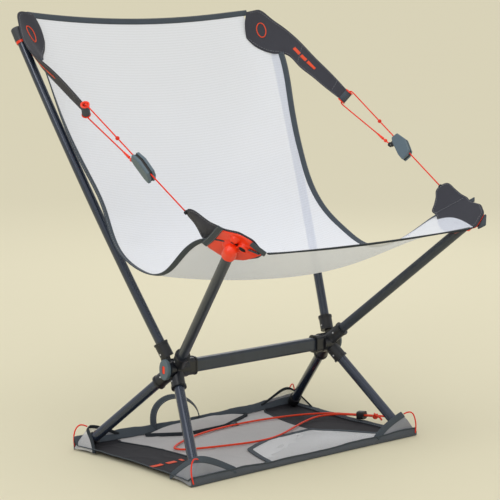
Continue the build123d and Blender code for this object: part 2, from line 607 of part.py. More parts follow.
# moulded tube with two flared mouths in the strap's end
TUBE = Plane(origin=STRAP_END, x_dir=TUBE_DIR.cross(CORD_DIR), z_dir=TUBE_DIR)
with BuildPart() as strap_tube:
    with BuildSketch(Plane(origin=STRAP_END, x_dir=TUBE.x_dir, z_dir=TUBE.y_dir)):
        with BuildLine():
            Polyline((TUBE_THROAT, -THROAT_HALF), (TUBE_MOUTH, -TUBE_HALF),
                     (TUBE_FLANGE, -TUBE_HALF),
                     (TUBE_FLANGE, TUBE_FLANGE_THICK - TUBE_HALF),
                     (TUBE_BARREL, TUBE_FLANGE_THICK - TUBE_HALF),
                     (TUBE_BARREL, TUBE_HALF - TUBE_FLANGE_THICK),
                     (TUBE_FLANGE, TUBE_HALF - TUBE_FLANGE_THICK), (TUBE_FLANGE, TUBE_HALF),
                     (TUBE_MOUTH, TUBE_HALF), (TUBE_THROAT, THROAT_HALF), close=True)
        make_face()
    revolve(axis=Axis(STRAP_END, TUBE_DIR))
write_pair(strap_tube.part, "strap_tube")

# ---- cord adjuster: two shells on a core that the cord runs through -----------------------------
CORD_POINTS = [
    (TAB_X + 0.2, 0), (TUBE_X - 2.9, 12.2), (TUBE_X, 9.6), (TUBE_X, -9.6), (TUBE_X - 2.9, -12.2),
    (38, -7.4),
]
CHANNEL_RADIUS = 1.4
SHELL_OUTLINE = [(10.5, 3), (8, 13.5), (-9, 15.5), (-28, 8), (-31.5, 1), (-30, -9.5), (-19, -8.5),
                 (3, -1.5)]


def adjuster_outline(inset):
    """Closed outline of the adjuster, drawn in this far."""
    with BuildSketch() as outline:
        with BuildLine():
            Polyline(*SHELL_OUTLINE, close=True)
        make_face()
        fillet(outline.vertices(), 2)
        offset(amount=-inset, mode=Mode.REPLACE)
    return outline.sketch


recline_points = [ADJUSTER.from_local_coords(Vector(x, y, 0)) for x, y in CORD_POINTS]
recline_route = [(point.X, point.Y, point.Z) for point in recline_points]
THROUGH_RUN = recline_points[1] - recline_points[0]

SHELL_IN, SHELL_OUT = 1.9, 6.2
with BuildPart() as adjuster_shells:
    with BuildSketch(ADJUSTER.offset(SHELL_IN)):
        add(adjuster_outline(0))
    extrude(amount=SHELL_OUT - SHELL_IN)
    chamfer(adjuster_shells.faces().sort_by(Axis(ADJUSTER.origin, ADJUSTER.z_dir))[-1].edges(), 1.2)
    mirror(about=ADJUSTER)
write_pair(adjuster_shells.part, "adjuster_shells")

EAR, EAR_RADIUS, EAR_HOLE, EAR_NECK = Vector(7, -6.2, 0), 3.4, 1.5, (6, 9)
CORE_INSET, CORE_GAP = 1.2, 0.1
with BuildPart() as adjuster_core:
    with BuildSketch(ADJUSTER.offset(CORE_GAP - SHELL_IN)):
        add(adjuster_outline(CORE_INSET))
        with Locations((EAR.X, EAR.Y)):
            Circle(EAR_RADIUS)
        with Locations((EAR.X - 2, EAR.Y + EAR_NECK[1] / 2)):
            Rectangle(*EAR_NECK)
        with Locations((EAR.X, EAR.Y)):
            Circle(EAR_HOLE, mode=Mode.SUBTRACT)
    extrude(amount=2 * (SHELL_IN - CORE_GAP))
    with BuildSketch(Plane(origin=recline_points[0], z_dir=THROUGH_RUN)):
        Circle(CHANNEL_RADIUS)
    extrude(amount=THROUGH_RUN.length, mode=Mode.SUBTRACT)
write_pair(adjuster_core.part, "adjuster_core")

# the cord's end: a knot above the ear and the tapered sleeve that the cord comes out of
TAIL_KNOT = ADJUSTER.from_local_coords(Vector(18.5, -6.7, 0))
TAIL_KNOT_RADIUS, SHRINK_RADII, STOP_KNOT_RADIUS = 2.7, (2.1, 1.3), 2.9
EAR_EDGE = ADJUSTER.from_local_coords(EAR + Vector(EAR_RADIUS + CLEAR, 0, 0))
SHRINK_FROM = ADJUSTER.from_local_coords(Vector(24, -7, 0))
SHRINK_TO = ADJUSTER.from_local_coords(Vector(38, -7.4, 0))
with BuildPart() as cord_tail:
    with Locations(Location((TAIL_KNOT.X, TAIL_KNOT.Y, TAIL_KNOT.Z))):
        Sphere(TAIL_KNOT_RADIUS)
    with BuildSketch(Plane(origin=EAR_EDGE, z_dir=TAIL_KNOT - EAR_EDGE)):
        Circle(CORD_RADIUS)
    extrude(amount=(TAIL_KNOT - EAR_EDGE).length)
    with BuildSketch(Plane(origin=TAIL_KNOT, z_dir=SHRINK_FROM - TAIL_KNOT)):
        Circle(CORD_RADIUS)
    extrude(amount=(SHRINK_FROM - TAIL_KNOT).length)
    with BuildSketch(Plane(origin=SHRINK_FROM, z_dir=SHRINK_TO - SHRINK_FROM)):
        Circle(SHRINK_RADII[0])
    with BuildSketch(Plane(origin=SHRINK_TO - (SHRINK_TO - SHRINK_FROM) * 0.01,
                           z_dir=SHRINK_TO - SHRINK_FROM)):
        Circle(SHRINK_RADII[1])
    loft()
write_pair(cord_tail.part, "cord_tail")

# ---- recline cord: tab, adjuster, tube and back to the tapered sleeve ---------------------------
write_pair(cord_tube(recline_route, CORD_RADIUS), "recline_cord")

STOP_KNOT = recline_points[0] + THROUGH_RUN.normalized() * STOP_KNOT_AT
with BuildPart() as stop_knot:
    with Locations(Location((STOP_KNOT.X, STOP_KNOT.Y, STOP_KNOT.Z))):
        Sphere(STOP_KNOT_RADIUS)
    with BuildSketch(Plane(origin=STOP_KNOT, z_dir=THROUGH_RUN)):
        Circle(CORD_RADIUS + 0.05)
    extrude(amount=5, both=True, mode=Mode.SUBTRACT)
write_pair(stop_knot.part, "stop_knot")

# ---- ground sheet ---------------------------------------------------------------------------------
SHEET_MID = (SHEET_FRONT + SHEET_BACK) / 2
with BuildPart() as base_sheet:
    with BuildSketch() as sheet_outline:
        with BuildLine():
            ThreePointArc((-SHEET_X, SHEET_FRONT), (0, SHEET_FRONT + SHEET_SAG * 0.3),
                          (SHEET_X, SHEET_FRONT))
            ThreePointArc((SHEET_X, SHEET_FRONT), (SHEET_X - SHEET_SAG, SHEET_MID),
                          (SHEET_X, SHEET_BACK))
            ThreePointArc((SHEET_X, SHEET_BACK), (0, SHEET_BACK - SHEET_SAG * 0.3),
                          (-SHEET_X, SHEET_BACK))
            ThreePointArc((-SHEET_X, SHEET_BACK), (SHEET_SAG - SHEET_X, SHEET_MID),
                          (-SHEET_X, SHEET_FRONT))
        make_face()
        fillet(sheet_outline.vertices(), 5)
    extrude(amount=SHEET_THICK)
write(base_sheet.part, "base_sheet")

# darker panels under the feet, one at each end
PANEL_THICK, PANEL_EDGE = 0.6, 9
with BuildPart() as base_end_panels:
    with BuildSketch(Plane.XY.offset(SHEET_THICK)):
        with BuildLine():
            panel_side = SHEET_X - PANEL_EDGE
            panel_front, panel_back = SHEET_FRONT + PANEL_EDGE, SHEET_BACK - PANEL_EDGE
            Polyline((142, panel_front), (panel_side, panel_front), (panel_side - 5, SHEET_MID),
                     (panel_side, panel_back), (146, panel_back))
            ThreePointArc((146, panel_back), (116, SHEET_MID), (142, panel_front))
        make_face()
    extrude(amount=PANEL_THICK)
    mirror(about=Plane.YZ)
write(base_end_panels.part, "base_end_panels")

# foot pockets: two leaning walls that meet at a corner of the sheet, open towards the middle
POCKET_FLOOR, POCKET_KNEE, POCKET_TOP, POCKET_WALL = 2.3, 16, 40, 1
POCKET_INSETS, POCKET_REACH = (1.2, 2.6, 13), 130


def foot_pocket(corner_y, inward, reach_x, reach_y, apex):
    """Pocket at the corner (SHEET_X, corner_y); inward is the sign of Y towards the middle."""
    heights = (POCKET_FLOOR, POCKET_KNEE, POCKET_TOP)
    with BuildPart() as pocket:
        for wall, mode in ((0, Mode.ADD), (POCKET_WALL, Mode.SUBTRACT)):
            for low in (0, 1):
                for level in (low, low + 1):
                    inset = POCKET_INSETS[level] + wall
                    reach = POCKET_REACH - inset
                    middle_x = SHEET_X - inset - reach / 2
                    middle_y = corner_y + inward * (inset + reach / 2)
                    with BuildSketch(Plane.XY.offset(heights[level])):
                        with Locations((middle_x, middle_y)):
                            Rectangle(reach, reach)
                loft(mode=mode)
        corner_a = Vector(SHEET_X - reach_x, corner_y + inward, POCKET_FLOOR)
        corner_b = Vector(SHEET_X, corner_y + inward * reach_y, POCKET_FLOOR)
        cut_normal = (corner_b - corner_a).cross(Vector(*apex) - corner_a)
        if cut_normal.dot(Vector(1, -inward, 0)) < 0:
            cut_normal = cut_normal * -1
        split(bisect_by=Plane(origin=corner_a, z_dir=cut_normal), keep=Keep.TOP)
    return pocket.part


front_pocket = foot_pocket(SHEET_FRONT, 1, 82, 50, (194, -104, 33))
back_pocket = foot_pocket(SHEET_BACK, -1, 76, 42, (196, 141, 31))
for pocket_part, name in ((front_pocket, "foot_pockets_front"), (back_pocket, "foot_pockets_back")):
    with BuildPart() as pockets:
        add(pocket_part)
        mirror(about=Plane.YZ)
    write(pockets.part, name)

# mesh pouch and soft stowage flap on the sheet, and the webbing carry handle on its back edge
POUCH_THICK = 1.2
with BuildPart() as base_pouch:
    with BuildSketch(Plane.XY.offset(SHEET_THICK + PANEL_THICK + 0.1)) as pouch_outline:
        with BuildLine():
            Polyline((-56, -104), (-50, -72), (-30, -22), (24, -4), (108, -2), (126, -40),
                     (128, -104), close=True)
        make_face()
        fillet(pouch_outline.vertices(), 5)
    extrude(amount=POUCH_THICK)
write(base_pouch.part, "base_pouch")

FLAP_HEIGHT = 12
with BuildPart() as storage_flap:
    with BuildSketch(Plane.XY.offset(SHEET_THICK)) as flap_outline:
        with BuildLine():
            Polyline((-92, 137), (-40, 108), (28, 106), (104, 137), close=True)
        make_face()
        fillet(flap_outline.vertices(), 6)
    extrude(amount=FLAP_HEIGHT, taper=35)
write(storage_flap.part, "storage_flap")

HANDLE_Y, HANDLE_WIDTH, HANDLE_THICK = 144.5, 9, 1.4
HANDLE_ROUTE = [(-72, 1.8), (-77, 24), (-70, 44), (-48, 54), (-22, 51), (0, 38), (13, 20), (15, 1.8)]
with BuildPart() as carry_handle:
    handle_points = [(x, HANDLE_Y, z) for x, z in HANDLE_ROUTE]
    with BuildLine() as handle_route:
        FilletPolyline(*handle_points, radius=corner_radii(handle_points))
    with BuildSketch(Plane(origin=handle_route.line @ 0, x_dir=(0, 1, 0),
                           z_dir=handle_route.line % 0)):
        Rectangle(HANDLE_WIDTH, HANDLE_THICK)
    sweep(path=handle_route.line)
write(carry_handle.part, "carry_handle")

# ---- bungee with its end knot, and the cord lock on its two strands ------------------------------
lock_front = LOCK + LOCK_DIR * (KNOT_AT - 3)
lock_rear = LOCK - LOCK_DIR * STRAIGHT_BEHIND


def strand(point, side):
    """A point moved to one of the two strands."""
    moved = point + LOCK_SIDE * side * STRAND
    return (moved.X, moved.Y, moved.Z)


bungee_points = [strand(lock_front, 1), strand(lock_rear, 1), *BUNGEE_BENDS,
                 strand(lock_rear, -1), strand(lock_front, -1)]
bungee = cord_tube(bungee_points, BUNGEE_RADIUS)
KNOT = LOCK + LOCK_DIR * (KNOT_AT + 1.5)
KNOT_RADIUS, TAIL_LENGTH, TAIL_SPREAD, TAIL_ODDS = 5, 18, 0.25, 4
with BuildPart() as bungee_cord:
    add(bungee)
    with Locations(Location((KNOT.X, KNOT.Y, KNOT.Z))):
        Sphere(KNOT_RADIUS)
    for side in (-1, 1):
        tail_start = KNOT + LOCK_SIDE * side * STRAND
        with BuildSketch(Plane(origin=tail_start, z_dir=LOCK_DIR + LOCK_SIDE * side * TAIL_SPREAD)):
            Circle(BUNGEE_RADIUS)
        extrude(amount=TAIL_LENGTH + TAIL_ODDS * side)
write(bungee_cord.part, "bungee_cord")

LOCK_BLOCK = Plane(origin=LOCK, x_dir=LOCK_SIDE, z_dir=LOCK_DIR)
PLUNGER = Plane(origin=LOCK, x_dir=LOCK_DIR, z_dir=LOCK_SIDE)
PLUNGER_RADIUS, PLUNGER_BORE, PLUNGER_FOOT, PLUNGER_LENGTH = 4.4, 4.5, -2.6, 12.4
BLOCK_WIDTH, BLOCK_HEIGHT, BLOCK_LENGTH, BLOCK_ROUND, BORE_FLOOR = 14, 11.5, 11, 3.5, -5.2
STRANDS_WIDE = 2 * (STRAND + BUNGEE_RADIUS) + 0.6
STRANDS_HIGH = 2 * BUNGEE_RADIUS + 0.5
with BuildPart() as cord_lock_barrel:
    with BuildSketch(LOCK_BLOCK.offset(-BLOCK_LENGTH / 2)):
        RectangleRounded(BLOCK_WIDTH, BLOCK_HEIGHT, BLOCK_ROUND)
    extrude(amount=BLOCK_LENGTH)
    with BuildSketch(PLUNGER.offset(BORE_FLOOR)):
        Circle(PLUNGER_BORE)
    extrude(amount=BLOCK_WIDTH, mode=Mode.SUBTRACT)
    with BuildSketch(LOCK_BLOCK):
        SlotOverall(STRANDS_WIDE, STRANDS_HIGH)
    extrude(amount=BLOCK_LENGTH, both=True, mode=Mode.SUBTRACT)
write(cord_lock_barrel.part, "cord_lock_barrel")

with BuildPart() as cord_lock_button:
    with BuildSketch(PLUNGER.offset(PLUNGER_FOOT)):
        Circle(PLUNGER_RADIUS)
    extrude(amount=PLUNGER_LENGTH)
    with BuildSketch(LOCK_BLOCK):
        with Locations((BUTTON_TRAVEL / 2, 0)):
            Rectangle(STRANDS_WIDE + BUTTON_TRAVEL, STRANDS_HIGH)
    extrude(amount=BLOCK_LENGTH, both=True, mode=Mode.SUBTRACT)
write(cord_lock_button.part, "cord_lock_button")

# ---- cord loops on the four corners of the ground sheet -------------------------------------------
FRONT_LOOP = [(196, -104.4, 34), (203, -107, 37), (209.5, -109.5, 34.5), (213, -111, 26),
              (213.8, -112.8, 15), (211, -113.9, 4.6)]
BACK_LOOP = [(196, 142.2, 33), (202.5, 145.5, 37), (209, 148.5, 34.5), (213, 150.5, 26),
             (213.8, 151, 15), (212.5, 151.2, 4.6)]
with BuildPart() as corner_loops:
    for loop in (FRONT_LOOP, BACK_LOOP):
        add(cord_tube(loop, CORD_LOOP_RADIUS))
    mirror(about=Plane.YZ)
write(corner_loops.part, "corner_loops")
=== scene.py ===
"""Looks of the ultralight reclining mesh camp chair.

Metres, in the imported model's own frame: +Z up, the sitter faces -Y and sits with the left side
at +X. Left pieces are built at +X and mirrored in X for the right.
"""
import math

import bmesh
import bpy
import numpy as np
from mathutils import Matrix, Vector, noise


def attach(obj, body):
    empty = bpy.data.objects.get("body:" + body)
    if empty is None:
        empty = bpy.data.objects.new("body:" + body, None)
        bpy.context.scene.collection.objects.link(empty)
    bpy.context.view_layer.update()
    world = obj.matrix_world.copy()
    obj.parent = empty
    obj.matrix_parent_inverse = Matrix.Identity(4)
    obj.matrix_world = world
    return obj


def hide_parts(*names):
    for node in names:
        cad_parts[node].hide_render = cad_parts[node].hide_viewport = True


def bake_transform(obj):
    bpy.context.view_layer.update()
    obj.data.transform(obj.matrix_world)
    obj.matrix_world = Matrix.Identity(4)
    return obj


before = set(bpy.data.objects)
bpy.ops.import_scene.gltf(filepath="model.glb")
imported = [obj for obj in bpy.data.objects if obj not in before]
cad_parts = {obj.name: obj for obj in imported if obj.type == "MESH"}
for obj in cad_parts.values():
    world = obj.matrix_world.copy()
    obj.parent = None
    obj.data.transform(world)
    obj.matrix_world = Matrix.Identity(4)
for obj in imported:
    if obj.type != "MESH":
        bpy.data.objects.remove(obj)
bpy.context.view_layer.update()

MM = 0.001
LEFT, RIGHT = 1, -1
SIDES = {"left": LEFT, "right": RIGHT}


# ---- small helpers
def mm(x, y, z, side=LEFT):
    """A point given in millimetres at +X, for the left or the right side."""
    return Vector((side * x, y, z)) * MM


def smoothstep(value):
    value = np.clip(value, 0, 1)
    return value * value * (3 - 2 * value)


def spline(points):
    """Natural cubic through the points, as a function of the share of its chord length."""
    p = np.array([tuple(point) for point in points], float)
    t = np.concatenate([[0], np.cumsum(np.linalg.norm(np.diff(p, axis=0), axis=1))])
    t /= t[-1]
    h = np.diff(t)
    count = len(p)
    system = np.eye(count)
    right = np.zeros_like(p)
    for i in range(1, count - 1):
        system[i, i - 1 : i + 2] = h[i - 1], 2 * (h[i - 1] + h[i]), h[i]
        right[i] = 6 * ((p[i + 1] - p[i]) / h[i] - (p[i] - p[i - 1]) / h[i - 1])
    bend = np.linalg.solve(system, right)

    def at(share):
        s = np.clip(np.atleast_1d(share), 0, 1)
        i = np.clip(np.searchsorted(t, s, side="right") - 1, 0, count - 2)
        a = ((t[i + 1] - s) / h[i])[:, None]
        b = ((s - t[i]) / h[i])[:, None]
        curve = ((a**3 - a) * bend[i] + (b**3 - b) * bend[i + 1]) * (h[i] ** 2)[:, None] / 6
        return a * p[i] + b * p[i + 1] + curve

    return at


def along_line(points, count):
    """Evenly spaced points on the smooth curve through the given ones."""
    at = spline(points)
    fine = at(np.linspace(0, 1, 400))
    run = np.concatenate([[0], np.cumsum(np.linalg.norm(np.diff(fine, axis=0), axis=1))])
    want = np.linspace(0, run[-1], count)
    return np.stack([np.interp(want, run, fine[:, k]) for k in range(3)], 1)


def unit(vectors):
    return vectors / np.maximum(np.linalg.norm(vectors, axis=-1, keepdims=True), 1e-12)


def lengths(points):
    return np.concatenate([[0], np.cumsum(np.linalg.norm(np.diff(points, axis=0), axis=1))])


def ripple(x, y, z, scale):
    """Soft repeatable noise from -1 to 1; scale is the size of one wave in metres."""
    return noise.noise(Vector((x, y, z)) / scale)


def mesh_piece(name, vertices, faces, uvs, material, smooth=True):
    """Object from vertices, faces and one (u, v) in metres for each vertex."""
    mesh = bpy.data.meshes.new(name)
    mesh.from_pydata([tuple(v) for v in vertices], [], faces)
    mesh.validate()
    shell = bmesh.new()
    shell.from_mesh(mesh)
    bmesh.ops.recalc_face_normals(shell, faces=shell.faces)
    shell.to_mesh(mesh)
    shell.free()
    layer = mesh.uv_layers.new(name="UVMap")
    for loop in mesh.loops:
        layer.data[loop.index].uv = uvs[loop.vertex_index]
    if smooth:
        mesh.polygons.foreach_set("use_smooth", [True] * len(mesh.polygons))
    piece = bpy.data.objects.new(name, mesh)
    bpy.context.scene.collection.objects.link(piece)
    piece.data.materials.append(material)
    return piece


def grid_faces(rows, columns, wrap=False):
    """Quads of a rows by columns grid; wrap closes each row on itself."""
    faces = []
    for r in range(rows - 1):
        for c in range(columns if wrap else columns - 1):
            d = (c + 1) % columns
            faces.append((r * columns + c, r * columns + d, (r + 1) * columns + d,
                          (r + 1) * columns + c))
    return faces


def surface(name, points, material):
    """Open sheet from a rows x columns x 3 array."""
    points = np.asarray(points, float)
    rows, columns = points.shape[:2]
    middle = columns // 2
    u = np.stack([lengths(row) - lengths(row)[middle] for row in points])
    v = np.repeat(lengths(points[:, middle])[:, None], columns, 1)
    uvs = np.stack([u, v], 2).reshape(-1, 2)
    return mesh_piece(name, points.reshape(-1, 3), grid_faces(rows, columns), uvs, material)


PROFILE_STEPS, PROFILE_POWER = 12, 0.5


def ribbon(name, centres, sideways, width, thick, material):
    """Flat band with rounded edges: centres along it, and the direction of its width at each."""
    centres = np.asarray(centres, float)
    rows = len(centres)
    width = np.broadcast_to(width, rows)
    forward = unit(np.gradient(centres, axis=0))
    sideways = np.broadcast_to(np.asarray(sideways, float), centres.shape)
    sideways = unit(sideways - forward * np.sum(forward * sideways, 1, keepdims=True))
    normal = np.cross(forward, sideways)
    angles = np.linspace(0, 2 * math.pi, PROFILE_STEPS, endpoint=False) + math.pi / PROFILE_STEPS
    across = np.sign(np.cos(angles)) * np.abs(np.cos(angles)) ** PROFILE_POWER / 2
    depth = np.sign(np.sin(angles)) * np.abs(np.sin(angles)) ** PROFILE_POWER * thick / 2
    run = lengths(centres)
    vertices, uvs = [], []
    for r in range(rows):
        for a, d in zip(across, depth):
            vertices.append(centres[r] + sideways[r] * a * width[r] + normal[r] * d)
            uvs.append((a * width[r], run[r]))
    faces = grid_faces(rows, PROFILE_STEPS, wrap=True)
    faces.append(tuple(range(PROFILE_STEPS)))
    faces.append(tuple(range((rows - 1) * PROFILE_STEPS, rows * PROFILE_STEPS))[::-1])
    return mesh_piece(name, vertices, faces, uvs, material)


def tube(name, centres, radius, material, around=10):
    """Round cord along the points, with UVs for a braid."""
    centres = np.asarray(centres, float)
    rows = len(centres)
    radius = np.broadcast_to(radius, rows)
    forward = unit(np.gradient(centres, axis=0))
    side = np.cross(forward[0], (0, 0, 1) if abs(forward[0][2]) < 0.9 else (1, 0, 0))
    run = lengths(centres)
    vertices, uvs = [], []
    for r in range(rows):
        side = side - forward[r] * np.dot(side, forward[r])
        side = side / np.linalg.norm(side)
        other = np.cross(forward[r], side)
        for k in range(around):
            angle = 2 * math.pi * k / around
            offset = side * math.cos(angle) + other * math.sin(angle)
            vertices.append(centres[r] + offset * radius[r])
            uvs.append((k / around * 4 * MM, run[r]))
    faces = grid_faces(rows, around, wrap=True)
    faces.append(tuple(range(around))[::-1])
    faces.append(tuple(range((rows - 1) * around, rows * around)))
    return mesh_piece(name, vertices, faces, uvs, material)


STITCH_LENGTH, STITCH_GAP, STITCH_RADIUS = 2.6 * MM, 1.3 * MM, 0.32 * MM


def stitches(name, points):
    """A row of short threads lying along the points."""
    points = np.asarray(points, float)
    run = lengths(points)
    vertices, faces, uvs = [], [], []
    start = STITCH_GAP
    while start + STITCH_LENGTH < run[-1]:
        ends = [np.array([np.interp(s, run, points[:, k]) for k in range(3)])
                for s in start + STITCH_LENGTH * np.array((0, 0.5, 1))]
        forward = unit(ends[2] - ends[0])
        side = unit(np.cross(forward, (0.3, 0.2, 0.9)))
        other = np.cross(forward, side)
        base = len(vertices)
        for end, size in zip(ends, (0.35, 1, 0.35)):
            for k in range(6):
                angle = math.pi * k / 3
                vertices.append(end + (side * math.cos(angle) + other * math.sin(angle))
                                * STITCH_RADIUS * size)
                uvs.append((0, 0))
        faces += [tuple(base + i for i in face) for face in grid_faces(3, 6, wrap=True)]
        faces.append(tuple(base + i for i in range(6))[::-1])
        faces.append(tuple(base + 12 + i for i in range(6)))
        start += STITCH_LENGTH + STITCH_GAP
    return mesh_piece(name, vertices, faces, uvs, M["thread"])


def rounded_outline(corners, radius):
    """Closed outline, in metres, from corners and a rounding radius in millimetres."""
    outline = []
    count = len(corners)
    for i, here in enumerate(corners):
        here = np.array(here, float)
        before = np.array(corners[i - 1], float) - here
        after = np.array(corners[(i + 1) % count], float) - here
        reach = min(radius, 0.45 * np.linalg.norm(before), 0.45 * np.linalg.norm(after))
        first = here + unit(before) * reach
        last = here + unit(after) * reach
        for t in np.linspace(0, 1, 6):
            outline.append((1 - t) ** 2 * first + 2 * t * (1 - t) * here + t * t * last)
    return np.array(outline) * MM


def even_outline(outline, count):
    """The closed outline at evenly spaced points."""
    closed = np.vstack([outline, outline[:1]])
    run = lengths(closed)
    want = np.linspace(0, run[-1], count, endpoint=False)
    return np.stack([np.interp(want, run, closed[:, k]) for k in range(2)], 1)


def leaf(name, outline, place, thick, material, rings=9, count=96, crown=0.0):
    """Sheet of some thickness with any outline; place(x, y, lift) puts a point of it in space."""
    rim = even_outline(np.asarray(outline, float), count)
    centre = rim.mean(0)
    vertices, uvs = [], []
    shares = [1.0, 1.0, 0.985] + [1 - (k / rings) ** 0.9 for k in range(1, rings)]
    lifts = [0.0, 0.6, 1.0] + [1.0] * (rings - 1)
    for share, lift in zip(shares, lifts):
        for point in rim:
            x, y = centre + (point - centre) * share
            vertices.append(place(x, y, lift * thick + crown * (1 - share**2)))
            uvs.append((x, y))
    rows = len(shares)
    faces = grid_faces(rows, count, wrap=True)
    vertices.append(place(*centre, thick + crown))
    uvs.append(tuple(centre))
    hub = len(vertices) - 1
    faces += [((rows - 1) * count + k, (rows - 1) * count + (k + 1) % count, hub)
              for k in range(count)]
    faces.append(tuple(range(count))[::-1])
    return mesh_piece(name, vertices, faces, uvs, material)


def settle(piece, *nodes, body="base_frame", slot="patch_charcoal"):
    """The piece rides on a body and stands for these CAD nodes; slot is not used."""
    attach(piece, body)
    if nodes:
        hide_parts(*nodes)
    return piece


def sew(name, points, body="base_frame"):
    """A row of stitches that rides with its cloth."""
    return settle(stitches(name, points), body=body)


def baked(piece):
    """Applies the piece's modifiers."""
    graph = bpy.context.evaluated_depsgraph_get()
    solid = bpy.data.meshes.new_from_object(piece.evaluated_get(graph))
    piece.modifiers.clear()
    piece.data = solid
    return piece


def thickened(piece, thick):
    """Gives an open surface some thickness, half on each side."""
    solidify = piece.modifiers.new("thick", "SOLIDIFY")
    solidify.thickness = thick
    solidify.offset = 0
    return baked(piece)


def join(name, parts, material):
    """One mesh from several temporary pieces."""
    vertices, faces = [], []
    for part in parts:
        base = len(vertices)
        vertices += [tuple(v.co) for v in part.data.vertices]
        faces += [tuple(base + i for i in face.vertices) for face in part.data.polygons]
        bpy.data.objects.remove(part)
    return mesh_piece(name, vertices, faces, [(0, 0)] * len(vertices), material)


def fused(piece, voxel, smoothing):
    """Melts overlapping shells into one skin and softens it."""
    remesh = piece.modifiers.new("skin", "REMESH")
    remesh.mode = "VOXEL"
    remesh.voxel_size = voxel
    soften = piece.modifiers.new("soften", "SMOOTH")
    soften.factor = 0.5
    soften.iterations = smoothing
    baked(piece)
    piece.data.polygons.foreach_set("use_smooth", [True] * len(piece.data.polygons))
    return piece


LATHE_STEPS = 40


def lathe(name, profile, start, axis, material):
    """Closed ring or solid from (distance along axis, radius) points in millimetres."""
    axis = unit(np.asarray(axis, float))
    side = unit(np.cross(axis, (0.3, 0.9, 0.1)))
    other = np.cross(axis, side)
    vertices = []
    for reach, radius in profile:
        for k in range(LATHE_STEPS):
            angle = 2 * math.pi * k / LATHE_STEPS
            round_about = side * math.cos(angle) + other * math.sin(angle)
            vertices.append(np.asarray(start) + axis * (reach * MM)
                            + round_about * (radius * MM))
    faces = grid_faces(len(profile), LATHE_STEPS, wrap=True)
    last = (len(profile) - 1) * LATHE_STEPS
    for k in range(LATHE_STEPS):
        after = (k + 1) % LATHE_STEPS
        faces.append((last + k, last + after, after, k))
    return mesh_piece(name, vertices, faces, [(0, 0)] * len(vertices), material)


def cord_line(points):
    """Points along the smooth curve that has these as its control points."""
    data = bpy.data.curves.new("line", "CURVE")
    data.dimensions = "3D"
    route = data.splines.new("NURBS")
    route.points.add(len(points) - 1)
    for control, place in zip(route.points, points):
        control.co = (*place, 1)
    route.order_u = 3
    route.use_endpoint_u = True
    route.resolution_u = 16
    holder = bpy.data.objects.new("line", data)
    read = bpy.data.meshes.new_from_object(holder)
    line = np.array([vertex.co for vertex in read.vertices])
    bpy.data.objects.remove(holder)
    return line


# ---- materials
class Recipe:
    """One Principled material and short names for the nodes that feed it."""

    def __init__(self, name, rough=0.5, metallic=0.0, coat=0.0, sheen=0.0, specular=0.5):
        self.material = bpy.data.materials.new(name)
        self.material.use_nodes = True
        self.tree = self.material.node_tree
        self.shader = self.tree.nodes["Principled BSDF"]
        for socket, value in (("Roughness", rough), ("Metallic", metallic), ("Coat Weight", coat),
                              ("Coat Roughness", 0.12), ("Sheen Weight", sheen),
                              ("Specular IOR Level", specular)):
            self.shader.inputs[socket].default_value = value
        self.coordinates = self.add("TexCoord")

    def add(self, kind):
        return self.tree.nodes.new("ShaderNode" + kind)

    def link(self, value, socket):
        if isinstance(value, (int, float)):
            socket.default_value = value
        elif isinstance(value, tuple):
            socket.default_value = (*value, 1) if len(value) == 3 else value
        else:
            self.tree.links.new(value, socket)

    def maths(self, operation, a, b=0.0, c=0.5):
        node = self.add("Math")
        node.operation = operation
        self.link(a, node.inputs[0])
        self.link(b, node.inputs[1])
        node.inputs[2].default_value = c
        return node.outputs[0]

    def times(self, a, b):
        return self.maths("MULTIPLY", a, b)

    def both(self, first, share, second, other_share):
        """Sum of two values, each with its share."""
        return self.maths("ADD", self.times(first, share), self.times(second, other_share))

    def half(self, value):
        """Maps a wave's -1..1 to 0..1."""
        return self.maths("MULTIPLY_ADD", value, 0.5)

    def noise(self, scale, detail=3.0, stretch=(1, 1, 1)):
        mapping = self.add("Mapping")
        mapping.inputs["Scale"].default_value = stretch
        self.tree.links.new(self.coordinates.outputs["Object"], mapping.inputs["Vector"])
        node = self.add("TexNoise")
        node.inputs["Scale"].default_value = scale
        node.inputs["Detail"].default_value = detail
        self.tree.links.new(mapping.outputs[0], node.inputs["Vector"])
        return node.outputs["Fac"]

    def uv(self):
        """u and v of the surface, in metres."""
        node = self.add("SeparateXYZ")
        self.tree.links.new(self.coordinates.outputs["UV"], node.inputs[0])
        return node.outputs[0], node.outputs[1]

    def wave(self, value, pitch):
        """Sine of a distance, one cycle each pitch."""
        return self.maths("SINE", self.times(value, 2 * math.pi / pitch))

    def between(self, value, low, high):
        """Maps 0..1 to low..high."""
        node = self.add("MapRange")
        self.link(value, node.inputs["Value"])
        node.inputs["To Min"].default_value = low
        node.inputs["To Max"].default_value = high
        return node.outputs[0]

    def ramp(self, value, stops):
        node = self.add("ValToRGB")
        self.link(value, node.inputs[0])
        elements = node.color_ramp.elements
        while len(elements) < len(stops):
            elements.new(0.5)
        for element, (place, colour) in zip(elements, stops):
            element.position = place
            element.color = (*colour, 1)
        return node.outputs[0]

    def blend(self, share, first, second):
        node = self.add("Mix")
        node.data_type = "RGBA"
        self.link(share, node.inputs[0])
        self.link(first, node.inputs[6])
        self.link(second, node.inputs[7])
        return node.outputs[2]

    def bump(self, height, strength, depth):
        node = self.add("Bump")
        node.inputs["Strength"].default_value = strength
        node.inputs["Distance"].default_value = depth
        self.link(height, node.inputs["Height"])
        self.tree.links.new(node.outputs[0], self.shader.inputs["Normal"])

    def colour(self, value):
        self.link(value, self.shader.inputs["Base Color"])
        return self

    def rough(self, value):
        self.link(value, self.shader.inputs["Roughness"])
        return self


def darker(colour, share):
    return tuple(c * share for c in colour)


